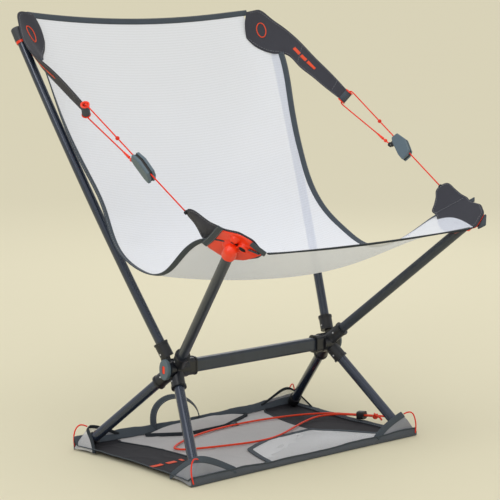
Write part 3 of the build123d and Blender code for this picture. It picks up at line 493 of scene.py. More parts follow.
def coated_metal(name, colour, rough, coat):
    """Anodised or painted tube: fine lengthwise haze, small specks, worn lighter in places."""
    r = Recipe(name, rough=rough, metallic=0.35, coat=coat)
    haze = r.noise(90, 4, stretch=(1, 1, 0.25))
    specks = r.noise(900, 2)
    worn = r.ramp(r.noise(24, 5), [(0.62, (0, 0, 0)), (0.78, (1, 1, 1))])
    tone = r.blend(haze, darker(colour, 0.78), darker(colour, 1.25))
    r.colour(r.blend(r.times(worn, 0.10), tone, (0.20, 0.22, 0.25)))
    r.rough(r.between(r.both(haze, 0.7, specks, 0.3), rough * 0.7, rough * 1.35))
    r.bump(specks, 0.12, 0.05 * MM)
    return r.material


def moulded(name, colour, rough, grain=1400, coat=0.0):
    """Moulded plastic: fine grain, faint flow marks and slightly shinier rubbed areas."""
    r = Recipe(name, rough=rough, coat=coat)
    flow = r.noise(38, 5)
    fine = r.noise(grain, 2)
    r.colour(r.blend(flow, darker(colour, 0.88), darker(colour, 1.12)))
    r.rough(r.between(flow, rough * 0.8, rough * 1.2))
    r.bump(r.both(fine, 0.6, flow, 0.4), 0.18, 0.12 * MM)
    return r.material


def woven(name, colour, pitch, contrast=0.35, twill=False, depth=0.25):
    """Cloth or webbing: threads of the given pitch, colour varied thread by thread."""
    r = Recipe(name, rough=0.85, sheen=0.05, specular=0.2)
    u, v = r.uv()
    if twill:
        slant = r.maths("ADD", u, r.times(v, 0.9))
        threads = r.times(r.wave(slant, pitch * 2), r.wave(v, pitch))
    else:
        threads = r.times(r.wave(u, pitch * 2), r.wave(v, pitch * 2))
    height = r.half(threads)
    fuzz = r.noise(1500, 3)
    patches = r.noise(45, 4)
    tone = r.blend(height, darker(colour, 1 - contrast), darker(colour, 1 + contrast))
    tone = r.blend(r.times(patches, 0.35), tone, darker(colour, 1.5))
    r.colour(tone)
    r.rough(r.between(fuzz, 0.765, 0.935))
    r.bump(r.both(height, 0.8, fuzz, 0.2), 0.6, depth * MM)
    return r.material


def braided(name, colour, pitch=1.9 * MM, fleck=None):
    """Braided cord: two sets of strands crossing at a slant."""
    r = Recipe(name, rough=0.6, sheen=0.2, specular=0.35)
    u, v = r.uv()
    one = r.wave(r.maths("ADD", u, v), pitch)
    two = r.wave(r.maths("SUBTRACT", u, v), pitch)
    height = r.half(r.maths("MAXIMUM", one, two))
    tone = r.blend(height, darker(colour, 0.55), darker(colour, 1.12))
    if fleck:
        spots = r.maths("GREATER_THAN", r.times(one, two), 0.82)
        tone = r.blend(r.times(spots, 0.7), tone, fleck)
    r.colour(r.blend(r.times(r.noise(200, 3), 0.25), tone, darker(colour, 0.8)))
    r.bump(height, 0.7, 0.2 * MM)
    return r.material


def open_mesh(name, colour, pitch, cover, rows=None, hole=0.25):
    """Open knit mesh: fine holes that let the background through, with slightly denser rows."""
    r = Recipe(name, rough=0.75, sheen=0.15, specular=0.25)
    u, v = r.uv()
    cells = r.times(r.wave(u, pitch * 2), r.wave(v, pitch * 2))
    height = r.half(cells)
    tone = r.blend(height, darker(colour, 0.93), colour)
    if rows:
        line = r.maths("POWER", r.half(r.wave(v, rows)), 3.0)
        tone = r.blend(r.times(line, 0.35), tone, darker(colour, 0.78))
    soft = r.noise(14, 4)
    r.colour(r.blend(r.times(soft, 0.25), tone, darker(colour, 0.86)))
    openness = r.maths("MULTIPLY_ADD", r.maths("ABSOLUTE", cells), -hole, cover + hole * 0.4)
    r.link(openness, r.shader.inputs["Alpha"])
    r.bump(height, 0.35, 0.2 * MM)
    return r.material


NAVY = (0.024, 0.036, 0.066)
SLATE = (0.036, 0.047, 0.070)
BINDING = (0.062, 0.076, 0.092)
CHARCOAL = (0.046, 0.047, 0.058)
RED = (0.94, 0.040, 0.004)
BLUE_GREY = (0.100, 0.145, 0.180)

M = {
    "pole": coated_metal("pole_gloss", NAVY, 0.22, 0.8),
    "pole_matt": coated_metal("pole_matt", SLATE, 0.34, 0.4),
    "hub": moulded("hub_black", (0.012, 0.014, 0.020), 0.36, coat=0.15),
    "cap": moulded("cap_blue_grey", BLUE_GREY, 0.42),
    "red": moulded("red_moulding", RED, 0.34, coat=0.25),
    "steel": coated_metal("pin_steel", (0.62, 0.63, 0.66), 0.28, 0.0),
    "foot": moulded("foot_rubber", (0.010, 0.010, 0.012), 0.5, grain=900),
    "tip": moulded("tip_grey", (0.050, 0.054, 0.066), 0.5),
    "shell": moulded("adjuster_shell", BLUE_GREY, 0.46, grain=1100),
    "core": moulded("adjuster_core", (0.012, 0.012, 0.014), 0.5),
    "sling": open_mesh("sling_mesh", (0.86, 0.90, 1.0), 1.3 * MM, 0.80, rows=4.2 * MM),
    "ground": open_mesh("ground_mesh", (0.50, 0.49, 0.50), 1.6 * MM, 0.97, rows=3.4 * MM,
                        hole=0.1),
    "pouch": open_mesh("pouch_mesh", (0.80, 0.81, 0.84), 1.7 * MM, 0.80, hole=0.5),
    "pocket": open_mesh("pocket_mesh", (0.30, 0.31, 0.34), 1.4 * MM, 0.93, hole=0.35),
    "clear": open_mesh("clear_mesh", (0.86, 0.87, 0.90), 1.2 * MM, 0.50, hole=0.3),
    "belly": woven("belly_cloth", (0.085, 0.095, 0.110), 1.0 * MM, twill=True, contrast=0.3),
    "binding": woven("binding_grey", BINDING, 0.9 * MM, twill=True, contrast=0.22),
    "hem": woven("hem_dark", darker(BINDING, 0.45), 0.9 * MM, twill=True, contrast=0.2),
    "patch": woven("patch_charcoal", CHARCOAL, 0.7 * MM, contrast=0.22, depth=0.12),
    "panel": woven("panel_charcoal", (0.022, 0.022, 0.027), 1.0 * MM, contrast=0.3),
    "flap": woven("flap_grey", (0.44, 0.43, 0.43), 0.8 * MM, contrast=0.12, depth=0.12),
    "cord": braided("cord_red", (0.92, 0.030, 0.004)),
    "bungee": braided("bungee_red", (0.94, 0.050, 0.006), pitch=2.2 * MM,
                      fleck=(0.35, 0.02, 0.01)),
    "webbing": woven("webbing_slate", darker(BINDING, 0.9), 1.1 * MM, twill=True, depth=0.3),
    "thread": woven("stitch_thread", (0.26, 0.27, 0.29), 0.4 * MM, contrast=0.1),
    "print": moulded("orange_print", (0.80, 0.070, 0.015), 0.6),
}

NODE_MATERIALS = {
    "spine_beam": "pole_matt", "hub": "hub", "hub_cap": "cap", "hub_cap_inserts": "red",
    "pivot_screws": "steel", "hub_pins": "steel", "back_sleeve_pins": "steel",
    "front_leg": "pole", "back_leg": "pole", "feet": "foot", "front_pole": "pole_matt",
    "back_sleeve": "hub", "back_pole_lower": "pole", "back_pole_upper": "pole",
    "pole_ferrules": "steel", "shock_cords": "cord", "tip_cups": "tip", "tip_rings": "red",
    "strap_tube": "red", "adjuster_shells": "shell", "adjuster_core": "core",
    "cord_tail": "red", "stop_knot": "cord", "cord_lock_barrel": "core",
    "cord_lock_button": "core",
}
for node_name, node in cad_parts.items():
    plain = node_name.removesuffix("_left").removesuffix("_right")
    node.data.materials.clear()
    node.data.materials.append(M[NODE_MATERIALS.get(plain, "patch")])


# ---- sling: one continuous open mesh between the four pole tips
SLING = [
    ((198, -233, 323), (-225, 315)), ((221, -150, 331), (-150, 275)),
    ((210, -68, 283), (-72, 254)), ((203, -20, 272), (-20, 249)), ((205, 36, 290), (36, 256)),
    ((198, 72, 318), (80, 283)), ((193, 99, 355), (122, 332)), ((199, 127, 399), (156, 393)),
    ((213, 166, 471), (200, 468)), ((223, 198, 545), (240, 548)), ((222, 246, 612), (263, 598)),
]
SLING_EDGE = spline([mm(*edge) for edge, centre in SLING])
SLING_CENTRE = spline([mm(0, *centre) for edge, centre in SLING])
SLING_WIDTH_STEPS, SLING_LENGTH_STEPS = 81, 161
BEND_START, BEND_END = mm(0, -10, 240), mm(0, 150, 380)


def sling_point(side, share):
    """Points of the sling: side -1..1 across, share 0..1 from the front to the top edge."""
    side = np.broadcast_to(side, np.shape(share)).astype(float)
    edge, centre = SLING_EDGE(share), SLING_CENTRE(share)
    bow = side**2
    point = centre + (edge - centre) * bow[:, None]
    point[:, 0] = edge[:, 0] * side
    # the stiff top corners hold the upper part flat until close to its sides
    power = 2 + 8 * smoothstep((np.asarray(share, float) - 0.62) / 0.26)
    point[:, 1] = centre[:, 1] + (edge[:, 1] - centre[:, 1]) * np.abs(side) ** power
    return point


def sling_normal(side, share):
    """Unit normal on the sitter's side."""
    step = 0.004
    along = sling_point(side, np.clip(share + step, 0, 1)) - sling_point(
        side, np.clip(share - step, 0, 1))
    across = sling_point(side + step, share) - sling_point(side - step, share)
    return unit(np.cross(across, along))


def under_patch(place):
    """Whether a point, in millimetres, lies well under a shoulder patch; the mesh ends there."""
    edge = np.interp(place.z, (551, 555, 564, 575, 615), (223, 209.5, 197.8, 191, 202))
    return place.z > 552 and abs(place.x) > edge + 2.5


def bend_with_sling(piece):
    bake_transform(piece)
    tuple(BEND_START)
    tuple(BEND_END)


def build_sling():
    shares = np.linspace(0, 1, SLING_LENGTH_STEPS)
    grid = np.zeros((SLING_LENGTH_STEPS, SLING_WIDTH_STEPS, 3))
    for column, side in enumerate(np.linspace(-1, 1, SLING_WIDTH_STEPS)):
        points = sling_point(side, shares)
        normals = sling_normal(np.full_like(shares, side), shares)
        slack = np.exp(-((np.abs(side) - 0.86) / 0.16) ** 2) * np.exp(-((shares - 0.5) / 0.2) ** 2)
        waves = np.array([ripple(*(p * (1, 3.2, 3.2)), 0.11) for p in points])
        grid[:, column] = points + normals * (waves * slack * 2.4 * MM)[:, None]
    piece = surface("sling", grid, M["sling"])
    shell = bmesh.new()
    shell.from_mesh(piece.data)
    covered = [face for face in shell.faces if under_patch(face.calc_center_median() / MM)]
    bmesh.ops.delete(shell, geom=covered, context="FACES")
    shell.to_mesh(piece.data)
    shell.free()
    width = 2 * float(SLING_EDGE(0.5)[0][0])
    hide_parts("seat_sling", "backrest_sling")
    bend_with_sling(piece)
    return piece


BINDING_WIDTH, BINDING_THICK = 9 * MM, 1.9 * MM
BINDING_STEPS = 150
STITCH_SHARE = 0.86                           # across the tape, from its outer edge


def sling_binding(name, sides, shares, width, material, thick=BINDING_THICK):
    """Folded tape round an edge of the sling."""
    centres = sling_point(sides, shares)
    forward = unit(np.gradient(centres, axis=0))
    normals = sling_normal(np.broadcast_to(sides, shares.shape).astype(float), shares)
    inward = unit(np.cross(normals, forward))
    middle = centres.mean(0)
    if np.mean(np.sum(inward * (middle - centres), 1)) < 0:
        inward = -inward
    piece = ribbon(name, centres + inward * width / 2, inward, width, thick, material)
    bend_with_sling(piece)
    stitch_line = centres + inward * width * STITCH_SHARE + normals * thick / 2
    bend_with_sling(stitches(name + "_stitches", stitch_line))


def build_sling_bindings():
    shares = np.linspace(0, 1, BINDING_STEPS)
    for name, side in SIDES.items():
        sling_binding(f"side_binding_{name}", float(side), shares * 0.89, BINDING_WIDTH,
                      M["binding"])
    across = np.linspace(-1, 1, BINDING_STEPS)
    sling_binding("top_binding", across * 0.93, np.full(BINDING_STEPS, 1.0), 9.5 * MM, M["binding"])
    sling_binding("front_binding", across * 0.95, np.full(BINDING_STEPS, 0.0), 4.5 * MM, M["hem"],
                  thick=2.2 * MM)


# ---- recline cords: tab to tube, and tube to the tapered sleeve of the adjuster
TAB_EYE, STRAP_END = mm(236.6, -132.7, 368.6), mm(243.3, 71.3, 489.3)
CORD_DIR = (STRAP_END - TAB_EYE).normalized()
TUBE_DIR = Vector((0.445, -0.478, 0.757))
CORD_NORMAL = CORD_DIR.cross(TUBE_DIR).normalized()
CORD_SIDE = CORD_NORMAL.cross(CORD_DIR)
ADJUSTER_AT = 108
ADJUSTER = TAB_EYE + CORD_DIR * ADJUSTER_AT * MM
TAB_X, TUBE_X = -ADJUSTER_AT, (STRAP_END - TAB_EYE).length / MM - ADJUSTER_AT
SLEEVE = (38, -7.4)
CORD_RADIUS = 1.0 * MM


def mirrored(point, side):
    return Vector((side * point[0], point[1], point[2]))


def on_adjuster(x, y, side):
    """A point of the adjuster's plane: x along the cord, y across it, in millimetres."""
    return mirrored(ADJUSTER + CORD_DIR * x * MM + CORD_SIDE * y * MM, side)


def build_recline_cords():
    through = [(TAB_X + 0.2, 0), (TUBE_X - 14, 11.6), (TUBE_X - 2.9, 12.2), (TUBE_X, 9.6)]
    back = [(TUBE_X, -9.6), (TUBE_X - 2.9, -12.2), (TUBE_X - 14, -11.8), SLEEVE]
    for name, side in SIDES.items():
        line = cord_line([on_adjuster(x, y, side) for x, y in through + back])
        middle = len(line) // 2
        tab, tube_end, sleeve = (on_adjuster(x, y, side)
                                 for x, y in ((TAB_X, 0), (TUBE_X, 0), SLEEVE))
        strands = (("front", line[: middle + 1], f"cord_end_{name}", tab),
                   ("rear", line[middle:], f"adjuster_{name}", sleeve))
        for which, points, body, moving_end in strands:
            strand = tube(f"recline_cord_{which}_{name}", points, CORD_RADIUS, M["cord"])
            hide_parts(f"recline_cord_{name}")
            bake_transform(strand)
            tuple(tube_end)
            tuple(moving_end)


# ---- bungee laced over the ground sheet, with its knot and tails
LOCK = mm(207, -6, 13)
LOCK_DIR = Vector((0.30, -0.95, 0.06)).normalized()
LOCK_SIDE = Vector((0.95, 0.30, 0)).normalized()
STRAND, BUNGEE_RADIUS = 1.9 * MM, 1.5 * MM
BUNGEE_BENDS = [
    (187, 53, 8.5), (163, 75, 6.5), (128, 91, 4.9), (88, 99, 4.6), (46, 101, 4.6),
    (4, 98, 4.6), (-36, 90, 4.6), (-72, 76, 4.6), (-98, 63, 4.6), (-113, 50, 4.6),
    (-108, 36, 4.6), (-86, 27, 4.6), (-50, 15, 4.6), (-10, 4, 4.6), (28, 1, 4.6), (64, 12, 4.6),
    (98, 28, 4.8), (134, 43, 5.5), (164, 50, 7), (182, 42, 8.6),
]


def build_bungee():
    front, rear = LOCK + LOCK_DIR * 19 * MM, LOCK - LOCK_DIR * 33 * MM
    route = [front + LOCK_SIDE * STRAND, rear + LOCK_SIDE * STRAND,
             *(mm(*bend) for bend in BUNGEE_BENDS),
             rear - LOCK_SIDE * STRAND, front - LOCK_SIDE * STRAND]
    line = cord_line(route)
    cord = settle(tube("bungee", line, BUNGEE_RADIUS, M["bungee"], around=12), "bungee_cord",
                  slot="cord_red")
    centre = np.array(LOCK + LOCK_DIR * 23.5 * MM)
    turns = np.linspace(0, 2 * math.pi, 90)
    ring = 2 + np.cos(3 * turns)
    knot_path = (centre + np.outer(ring * np.cos(2 * turns), LOCK_SIDE) * 1.35 * MM
                 + np.outer(ring * np.sin(2 * turns), (0, 0, 1)) * 1.2 * MM
                 + np.outer(np.sin(3 * turns), LOCK_DIR) * 1.9 * MM)
    extras = [settle(tube("bungee_knot", knot_path, BUNGEE_RADIUS, M["bungee"]), slot="cord_red")]
    for label, side, reach in (("long", 1, 22), ("short", -1, 14)):
        start = centre + np.array(LOCK_SIDE) * side * 1.2 * MM
        out = LOCK_DIR + LOCK_SIDE * side * 0.25
        points = [start, start + np.array(out) * reach * 0.5 * MM,
                  start + np.array(out) * reach * 0.8 * MM + np.array(mm(0, 0, -2)),
                  start + np.array(out) * reach * MM + np.array(mm(1.5 * side, 0, -4))]
        tail = tube(f"bungee_tail_{label}", cord_line(points), BUNGEE_RADIUS, M["bungee"])
        extras.append(settle(tail, slot="cord_red"))
    lengths(line)[-1]


FRONT_LOOP = [(196, -104.4, 34), (203, -107, 37), (209.5, -109.5, 34.5), (213, -111, 26),
              (213.8, -112.8, 15), (211, -113.9, 4.6)]
BACK_LOOP = [(196, 142.2, 33), (202.5, 145.5, 37), (209, 148.5, 34.5), (213, 150.5, 26),
             (213.8, 151, 15), (212.5, 151.2, 4.6)]


def build_corner_loops():
    for name, side in SIDES.items():
        for which, route in (("front", FRONT_LOOP), ("back", BACK_LOOP)):
            line = cord_line([mm(*point, side) for point in route])
            loop = tube(f"{which}_corner_loop_{name}", line, 1.0 * MM, M["cord"])
            settle(loop, "corner_loops", slot="cord_red")


# ---- front corners: fabric patch with its cord tab, and the red cup that holds the pole
CORNER_AT = mm(198, -233, 323)
CORNER_X = (mm(236, -190, 358.5) - CORNER_AT).normalized()
CORNER_N = Vector((0.721, -0.068, -0.689)).normalized()
CORNER_Y = CORNER_N.cross(CORNER_X)
FRONT_PATCH = [(-3.5, 3), (16.5, 18.5), (37, 15.7), (56, -0.3), (67, -3), (78, -11), (92, -18),
               (104, -23), (110, -29), (110.5, -40), (105, -47), (94, -49), (84, -55), (76, -62),
               (66, -56), (52, -54.5), (40, -54.5), (26, -49), (10, -35), (1, -18)]
TAB_FROM, TAB_REACH, TAB_RISE = 62 * MM, 48 * MM, 10.4 * MM


def on_corner(x, y, out, side):
    """A point by its place in the corner's plane and its height off it, in metres."""
    return mirrored(CORNER_AT + CORNER_X * x + CORNER_Y * y + CORNER_N * out, side)


def tab_drop(x):
    """How far the patch's tab leaves the corner's plane."""
    return float(smoothstep((x - TAB_FROM) / TAB_REACH)) * TAB_RISE


def build_front_patches():
    outline = rounded_outline(FRONT_PATCH, 4)
    for name, side in SIDES.items():
        def place(x, y, lift):
            return on_corner(x, y, -0.3 * MM - lift - tab_drop(x), side)
        patch = leaf(f"front_patch_fabric_{name}", outline, place, 1.4 * MM, M["patch"],
                     rings=22, count=160, crown=0.3 * MM)
        settle(patch, f"front_patch_{name}")
        rim = even_outline(outline, 200)
        centre = rim.mean(0)
        inner = centre + (rim - centre) * 0.93
        for face, lift in (("inner", 2.0 * MM), ("outer", -0.1 * MM)):
            path = [place(x, y, lift) for x, y in np.vstack([inner, inner[:1]])]
            sew(f"front_patch_stitches_{face}_{name}", path)
        seam = [place(68 * MM, y * MM, 2.0 * MM) for y in np.linspace(-56, -6, 36)]
        sew(f"tab_seam_{name}", seam)
        eye = mirrored(TAB_EYE, side)
        along = mirrored(CORD_DIR, side)
        eyelet = [(-1.2, 1.3), (-1.2, 3.0), (1.2, 3.0), (1.2, 1.3)]
        settle(lathe(f"tab_eyelet_{name}", eyelet, eye, along, M["hem"]))


CUP_PLATE = [(-2.5, 3), (16.5, 17.6), (36, 14.6), (55, -1), (65, -3.5), (65.5, -53), (54, -53.5),
             (41, -53), (29, -46.5), (14, -33), (5, -17.5)]
CUP_SOCKET = [(-16, 7.4), (-16, 9.2), (-15.2, 9.6), (-3, 9.5), (1, 8.4), (3.4, 5.5), (4.4, 0.1),
              (1.0, 0.1), (0.6, 7.4)]
CUP_DOME = [(-2, 0.1), (-2, 6.4), (1, 6.3), (3.5, 5.0), (5.4, 2.6), (6.0, 0.1)]
CUP_RING = [(0, 4.6), (0, 7.8), (7.2, 7.3), (8.2, 6.6), (8.2, 5.4), (7.4, 4.7)]
CUP_LUMP = [(0, 0.1), (0, 13), (4, 12), (9, 8.5), (12, 4), (12.5, 0.1)]
# black lining of the ring's hole: painted shade standing for the dark inside the hole
CUP_HOLE_SHADE = [(3.2, 0.05), (3.2, 4.9), (7.6, 4.9), (7.6, 4.5), (3.8, 4.4), (3.8, 0.05)]


def cup_swell(y):
    """How far the cup's plate bulges off the corner's plane towards the pole."""
    return 6 * MM * float(smoothstep((-y / MM - 8) / 45))


def build_cup_bindings(name, side):
    """The ends of the sling's bindings, sewn over the edge of the cup."""
    run = along_line([on_corner(x * MM, y * MM, n * MM, side) for x, y, n in
                      ((60, 5, 2.4), (61.5, -6, 3.6), (63, -20, 5), (65.5, -34, 7.4),
                       (69, -48, 9.5))], 30)
    tape = ribbon(f"cup_side_binding_{name}", run, mirrored(CORNER_X, side), 9 * MM, 1.8 * MM,
                  M["binding"])
    settle(tape)
    edge = run + np.array(mirrored(CORNER_N, side)) * 1.0 * MM
    for label, shift in (("near", -3.2), ("far", 3.2)):
        line = edge + np.array(mirrored(CORNER_X, side)) * shift * MM
        sew(f"cup_side_stitches_{label}_{name}", line)
    outline = rounded_outline([(18, 8), (16.5, 19.5), (-5.5, 16), (-5, 3)], 2)

    def place(x, y, lift):
        return on_corner(x, y, 2.4 * MM + lift, side)
    fold = leaf(f"cup_front_binding_{name}", outline, place, 1.2 * MM, M["binding"], rings=6,
                count=60)
    settle(fold)


def build_corner_cups():
    plate = rounded_outline(CUP_PLATE, 5)
    pole_from, pole_to = np.array(mm(142, 5, 132.5)), np.array(mm(224.4, -206.4, 328.4))
    pole_dir = unit(pole_to - pole_from)
    for name, side in SIDES.items():
        def place(x, y, lift):
            return on_corner(x, y, 0.35 * MM + lift + cup_swell(y), side)
        mirror_dir = np.array(mirrored(pole_dir, side))
        tip = np.array(mirrored(pole_to, side))
        out = np.array(mirrored(CORNER_N, side))
        dome = np.array(place(37.6 * MM, 0.3 * MM, 3 * MM))
        ring = np.array(place(23 * MM, -4 * MM, 0))
        lump = np.array(place(38 * MM, -23 * MM, -2 * MM))
        parts = [
            leaf("plate", plate, place, 2.2 * MM, M["red"], rings=12, count=120, crown=0.8 * MM),
            lathe("socket", CUP_SOCKET, tip, mirror_dir, M["red"]),
            lathe("dome", CUP_DOME, dome, out, M["red"]),
            lathe("ring", CUP_RING, ring, out, M["red"]),
            lathe("lump", CUP_LUMP, lump, out, M["red"]),
        ]
        cup = fused(join(f"corner_cup_moulding_{name}", parts, M["red"]), 0.8 * MM, 5)
        settle(cup, f"corner_cup_{name}", slot="accent_red")
        # near-black lining in the ring's hole, painted shade of the hole
        well = lathe(f"cup_hole_shade_{name}", CUP_HOLE_SHADE, ring, out, M["core"])
        settle(well, slot="accent_red")
        # raised black strip on the dome: painted shade standing for its slit
        slit = ribbon(f"cup_slit_shade_{name}", [place(x * MM, 0.3 * MM, 9.2 * MM) for x in
                                           np.linspace(35.4, 39.8, 6)],
                      mirrored(CORNER_Y, side), 1.3 * MM, 0.7 * MM, M["core"])
        settle(slit, slot="accent_red")
        build_cup_bindings(name, side)


# ---- top corners: shoulder patch running out into the strap that carries the cord's tube
STRAP_UPPER = [(202, 252.5, 615.3), (214, 250, 617.6), (226, 249.5, 618.4), (238, 236, 606),
               (246, 220, 594.2), (256, 188, 570.5), (251.6, 148, 546.6), (249, 111, 524.7),
               (246.9, 67.4, 495.4)]
STRAP_LOWER = [(191, 240, 575.2), (197.8, 230.8, 564.3), (209.5, 218, 555), (220.8, 202.6, 551.3),
               (231, 195.5, 550.5), (236, 170, 534), (237, 143.5, 519.4), (238, 114.6, 503.4),
               (239.7, 75.2, 483.2)]
STRAP_ROWS, STRAP_COLUMNS = 90, 17
STRAP_WRAP = [(-8, 4.25), (-8, 5.4), (-7.6, 5.7), (7.6, 5.7), (8, 5.4), (8, 4.25)]


def strap_grid(side):
    upper = along_line([mm(*point, side) for point in STRAP_UPPER], STRAP_ROWS)
    lower = along_line([mm(*point, side) for point in STRAP_LOWER], STRAP_ROWS)
    v = np.linspace(0, 1, STRAP_COLUMNS)[None, :, None]
    grid = upper[:, None] * (1 - v) + lower[:, None] * v
    start = np.clip(1 - np.linspace(0, 1, STRAP_ROWS) / 0.12, 0, 1)[:, None]
    grid[:, :, 0] -= side * 3 * MM * start * np.sin(math.pi * v[:, :, 0])
    return grid


def build_strap_marks(name, grid, outward):
    """Plain printed marks on both faces: a ring on the patch and bars along the strap."""
    rows, columns = grid.shape[0] - 1, grid.shape[1] - 1

    def on_strap(share, v, lift):
        r, c = share * rows, v * columns
        i, j = min(int(r), rows - 1), min(int(c), columns - 1)
        a, b = r - i, c - j
        point = ((grid[i, j] * (1 - a) + grid[i + 1, j] * a) * (1 - b)
                 + (grid[i, j + 1] * (1 - a) + grid[i + 1, j + 1] * a) * b)
        return point + outward * lift
    turns = np.linspace(0, 2 * math.pi, 40)
    across = grid[40, -1] - grid[40, 0]
    for face, where in ((-1, "in"), (1, "out")):
        ring = [on_strap(0.13 + 0.036 * math.cos(a), 0.5 + 0.18 * math.sin(a), face * 0.9 * MM)
                for a in turns]
        mark = tube(f"patch_mark_{where}_{name}", ring, 0.9 * MM, M["print"], around=6)
        settle(mark, body="back_frame")
        for k, (first, last) in enumerate(((0.40, 0.47), (0.485, 0.55), (0.565, 0.66))):
            bar = [on_strap(t, 0.5, face * 0.8 * MM) for t in np.linspace(first, last, 12)]
            mark = ribbon(f"strap_mark_{k}_{where}_{name}", bar, across, 5 * MM, 0.3 * MM,
                          M["print"])
            settle(mark, body="back_frame")


def build_shoulder_straps():
    for name, side in SIDES.items():
        grid = strap_grid(side)
        strap = thickened(surface(f"shoulder_strap_{name}", grid, M["patch"]), 1.4 * MM)
        settle(strap, f"strap_{name}", f"top_patch_{name}", body="back_frame")
        across = unit(np.cross(grid[1:, :-1] - grid[:-1, :-1], grid[:-1, 1:] - grid[:-1, :-1]))
        normal = across.mean((0, 1)) * side
        outward = normal / np.linalg.norm(normal)
        for label, column in (("upper", 1), ("lower", STRAP_COLUMNS - 2)):
            for face, lift in (("out", 0.75), ("in", -0.75)):
                line = grid[2:-4, column] + outward * lift * MM
                sew(f"strap_stitches_{label}_{face}_{name}", line, "back_frame")
        for label, row in (("fold", 42), ("end", STRAP_ROWS - 12)):
            for lift, face in ((0.75, "out"), (-0.75, "in")):
                line = grid[row, 1:-1] + outward * lift * MM
                sew(f"strap_seam_{label}_{face}_{name}", line, "back_frame")
        build_strap_marks(name, grid, outward)
        end, axis = np.array(mirrored(STRAP_END, side)), np.array(mirrored(TUBE_DIR, side))
        wrap = lathe(f"strap_wrap_{name}", STRAP_WRAP, end, axis, M["binding"])
        settle(wrap, body="back_frame")


# ---- ground sheet: mesh middle, coated end panels, raised hems
SHEET_X, SHEET_FRONT, SHEET_BACK, SHEET_MID = 214.5 * MM, -112.5 * MM, 149.5 * MM, 18.5 * MM
SHEET_LIE = 1.3 * MM
HALF_DEPTH = 131 * MM
HEM_REACH, HEM_WIDTH = 12 * MM, 7 * MM


def sheet_side(v):
    """Half width of the sheet at v, -1 at the front edge and 1 at the back edge."""
    return SHEET_X - 8 * MM * (1 - v**2)


def sheet_depth(u):
    """Half depth of the sheet at u, -1 on the right edge and 1 on the left edge."""
    return (SHEET_BACK - SHEET_FRONT) / 2 - 2.4 * MM * (1 - u**2)


def ground_height(x, y):
    """Height of the cloth over the floor."""
    u, v = np.clip(x / SHEET_X, -1, 1), np.clip((y - SHEET_MID) / HALF_DEPTH, -1, 1)
    front = smoothstep((SHEET_FRONT + HEM_REACH - y) / HEM_REACH) * (9 + 2 * u**2) * MM
    back = smoothstep((y - SHEET_BACK + HEM_REACH) / HEM_REACH) * (13 + 5 * u**2) * MM
    ends = (smoothstep((np.abs(x) - sheet_side(v) + HEM_REACH) / HEM_REACH)
            * np.where(x < 0, 6, 3) * MM)
    wrinkle = 0.5 + 0.5 * ripple(x, y * 1.6, 0, 0.07)
    crease = max(0.0, 1 - abs(ripple(x * 1.2 + 0.3, y, 0.4, 0.045)) * 6)
    uneven = 1 + 0.25 * ripple(x, y, 0.6, 0.05)
    return SHEET_LIE + max(front, back, ends) * uneven + (wrinkle * 0.9 + crease * 0.5) * MM


def ground_point(x, y, lift=0.0):
    return Vector((x, y, float(ground_height(x, y)) + lift))


PANEL_IN_END, PANEL_IN_MID = 145 * MM, 120 * MM
END_COLUMNS, MIDDLE_COLUMNS, SHEET_ROWS = 36, 110, 110


def panel_edge(v):
    """How far from the middle an end panel begins."""
    return PANEL_IN_MID + (PANEL_IN_END - PANEL_IN_MID) * v * v


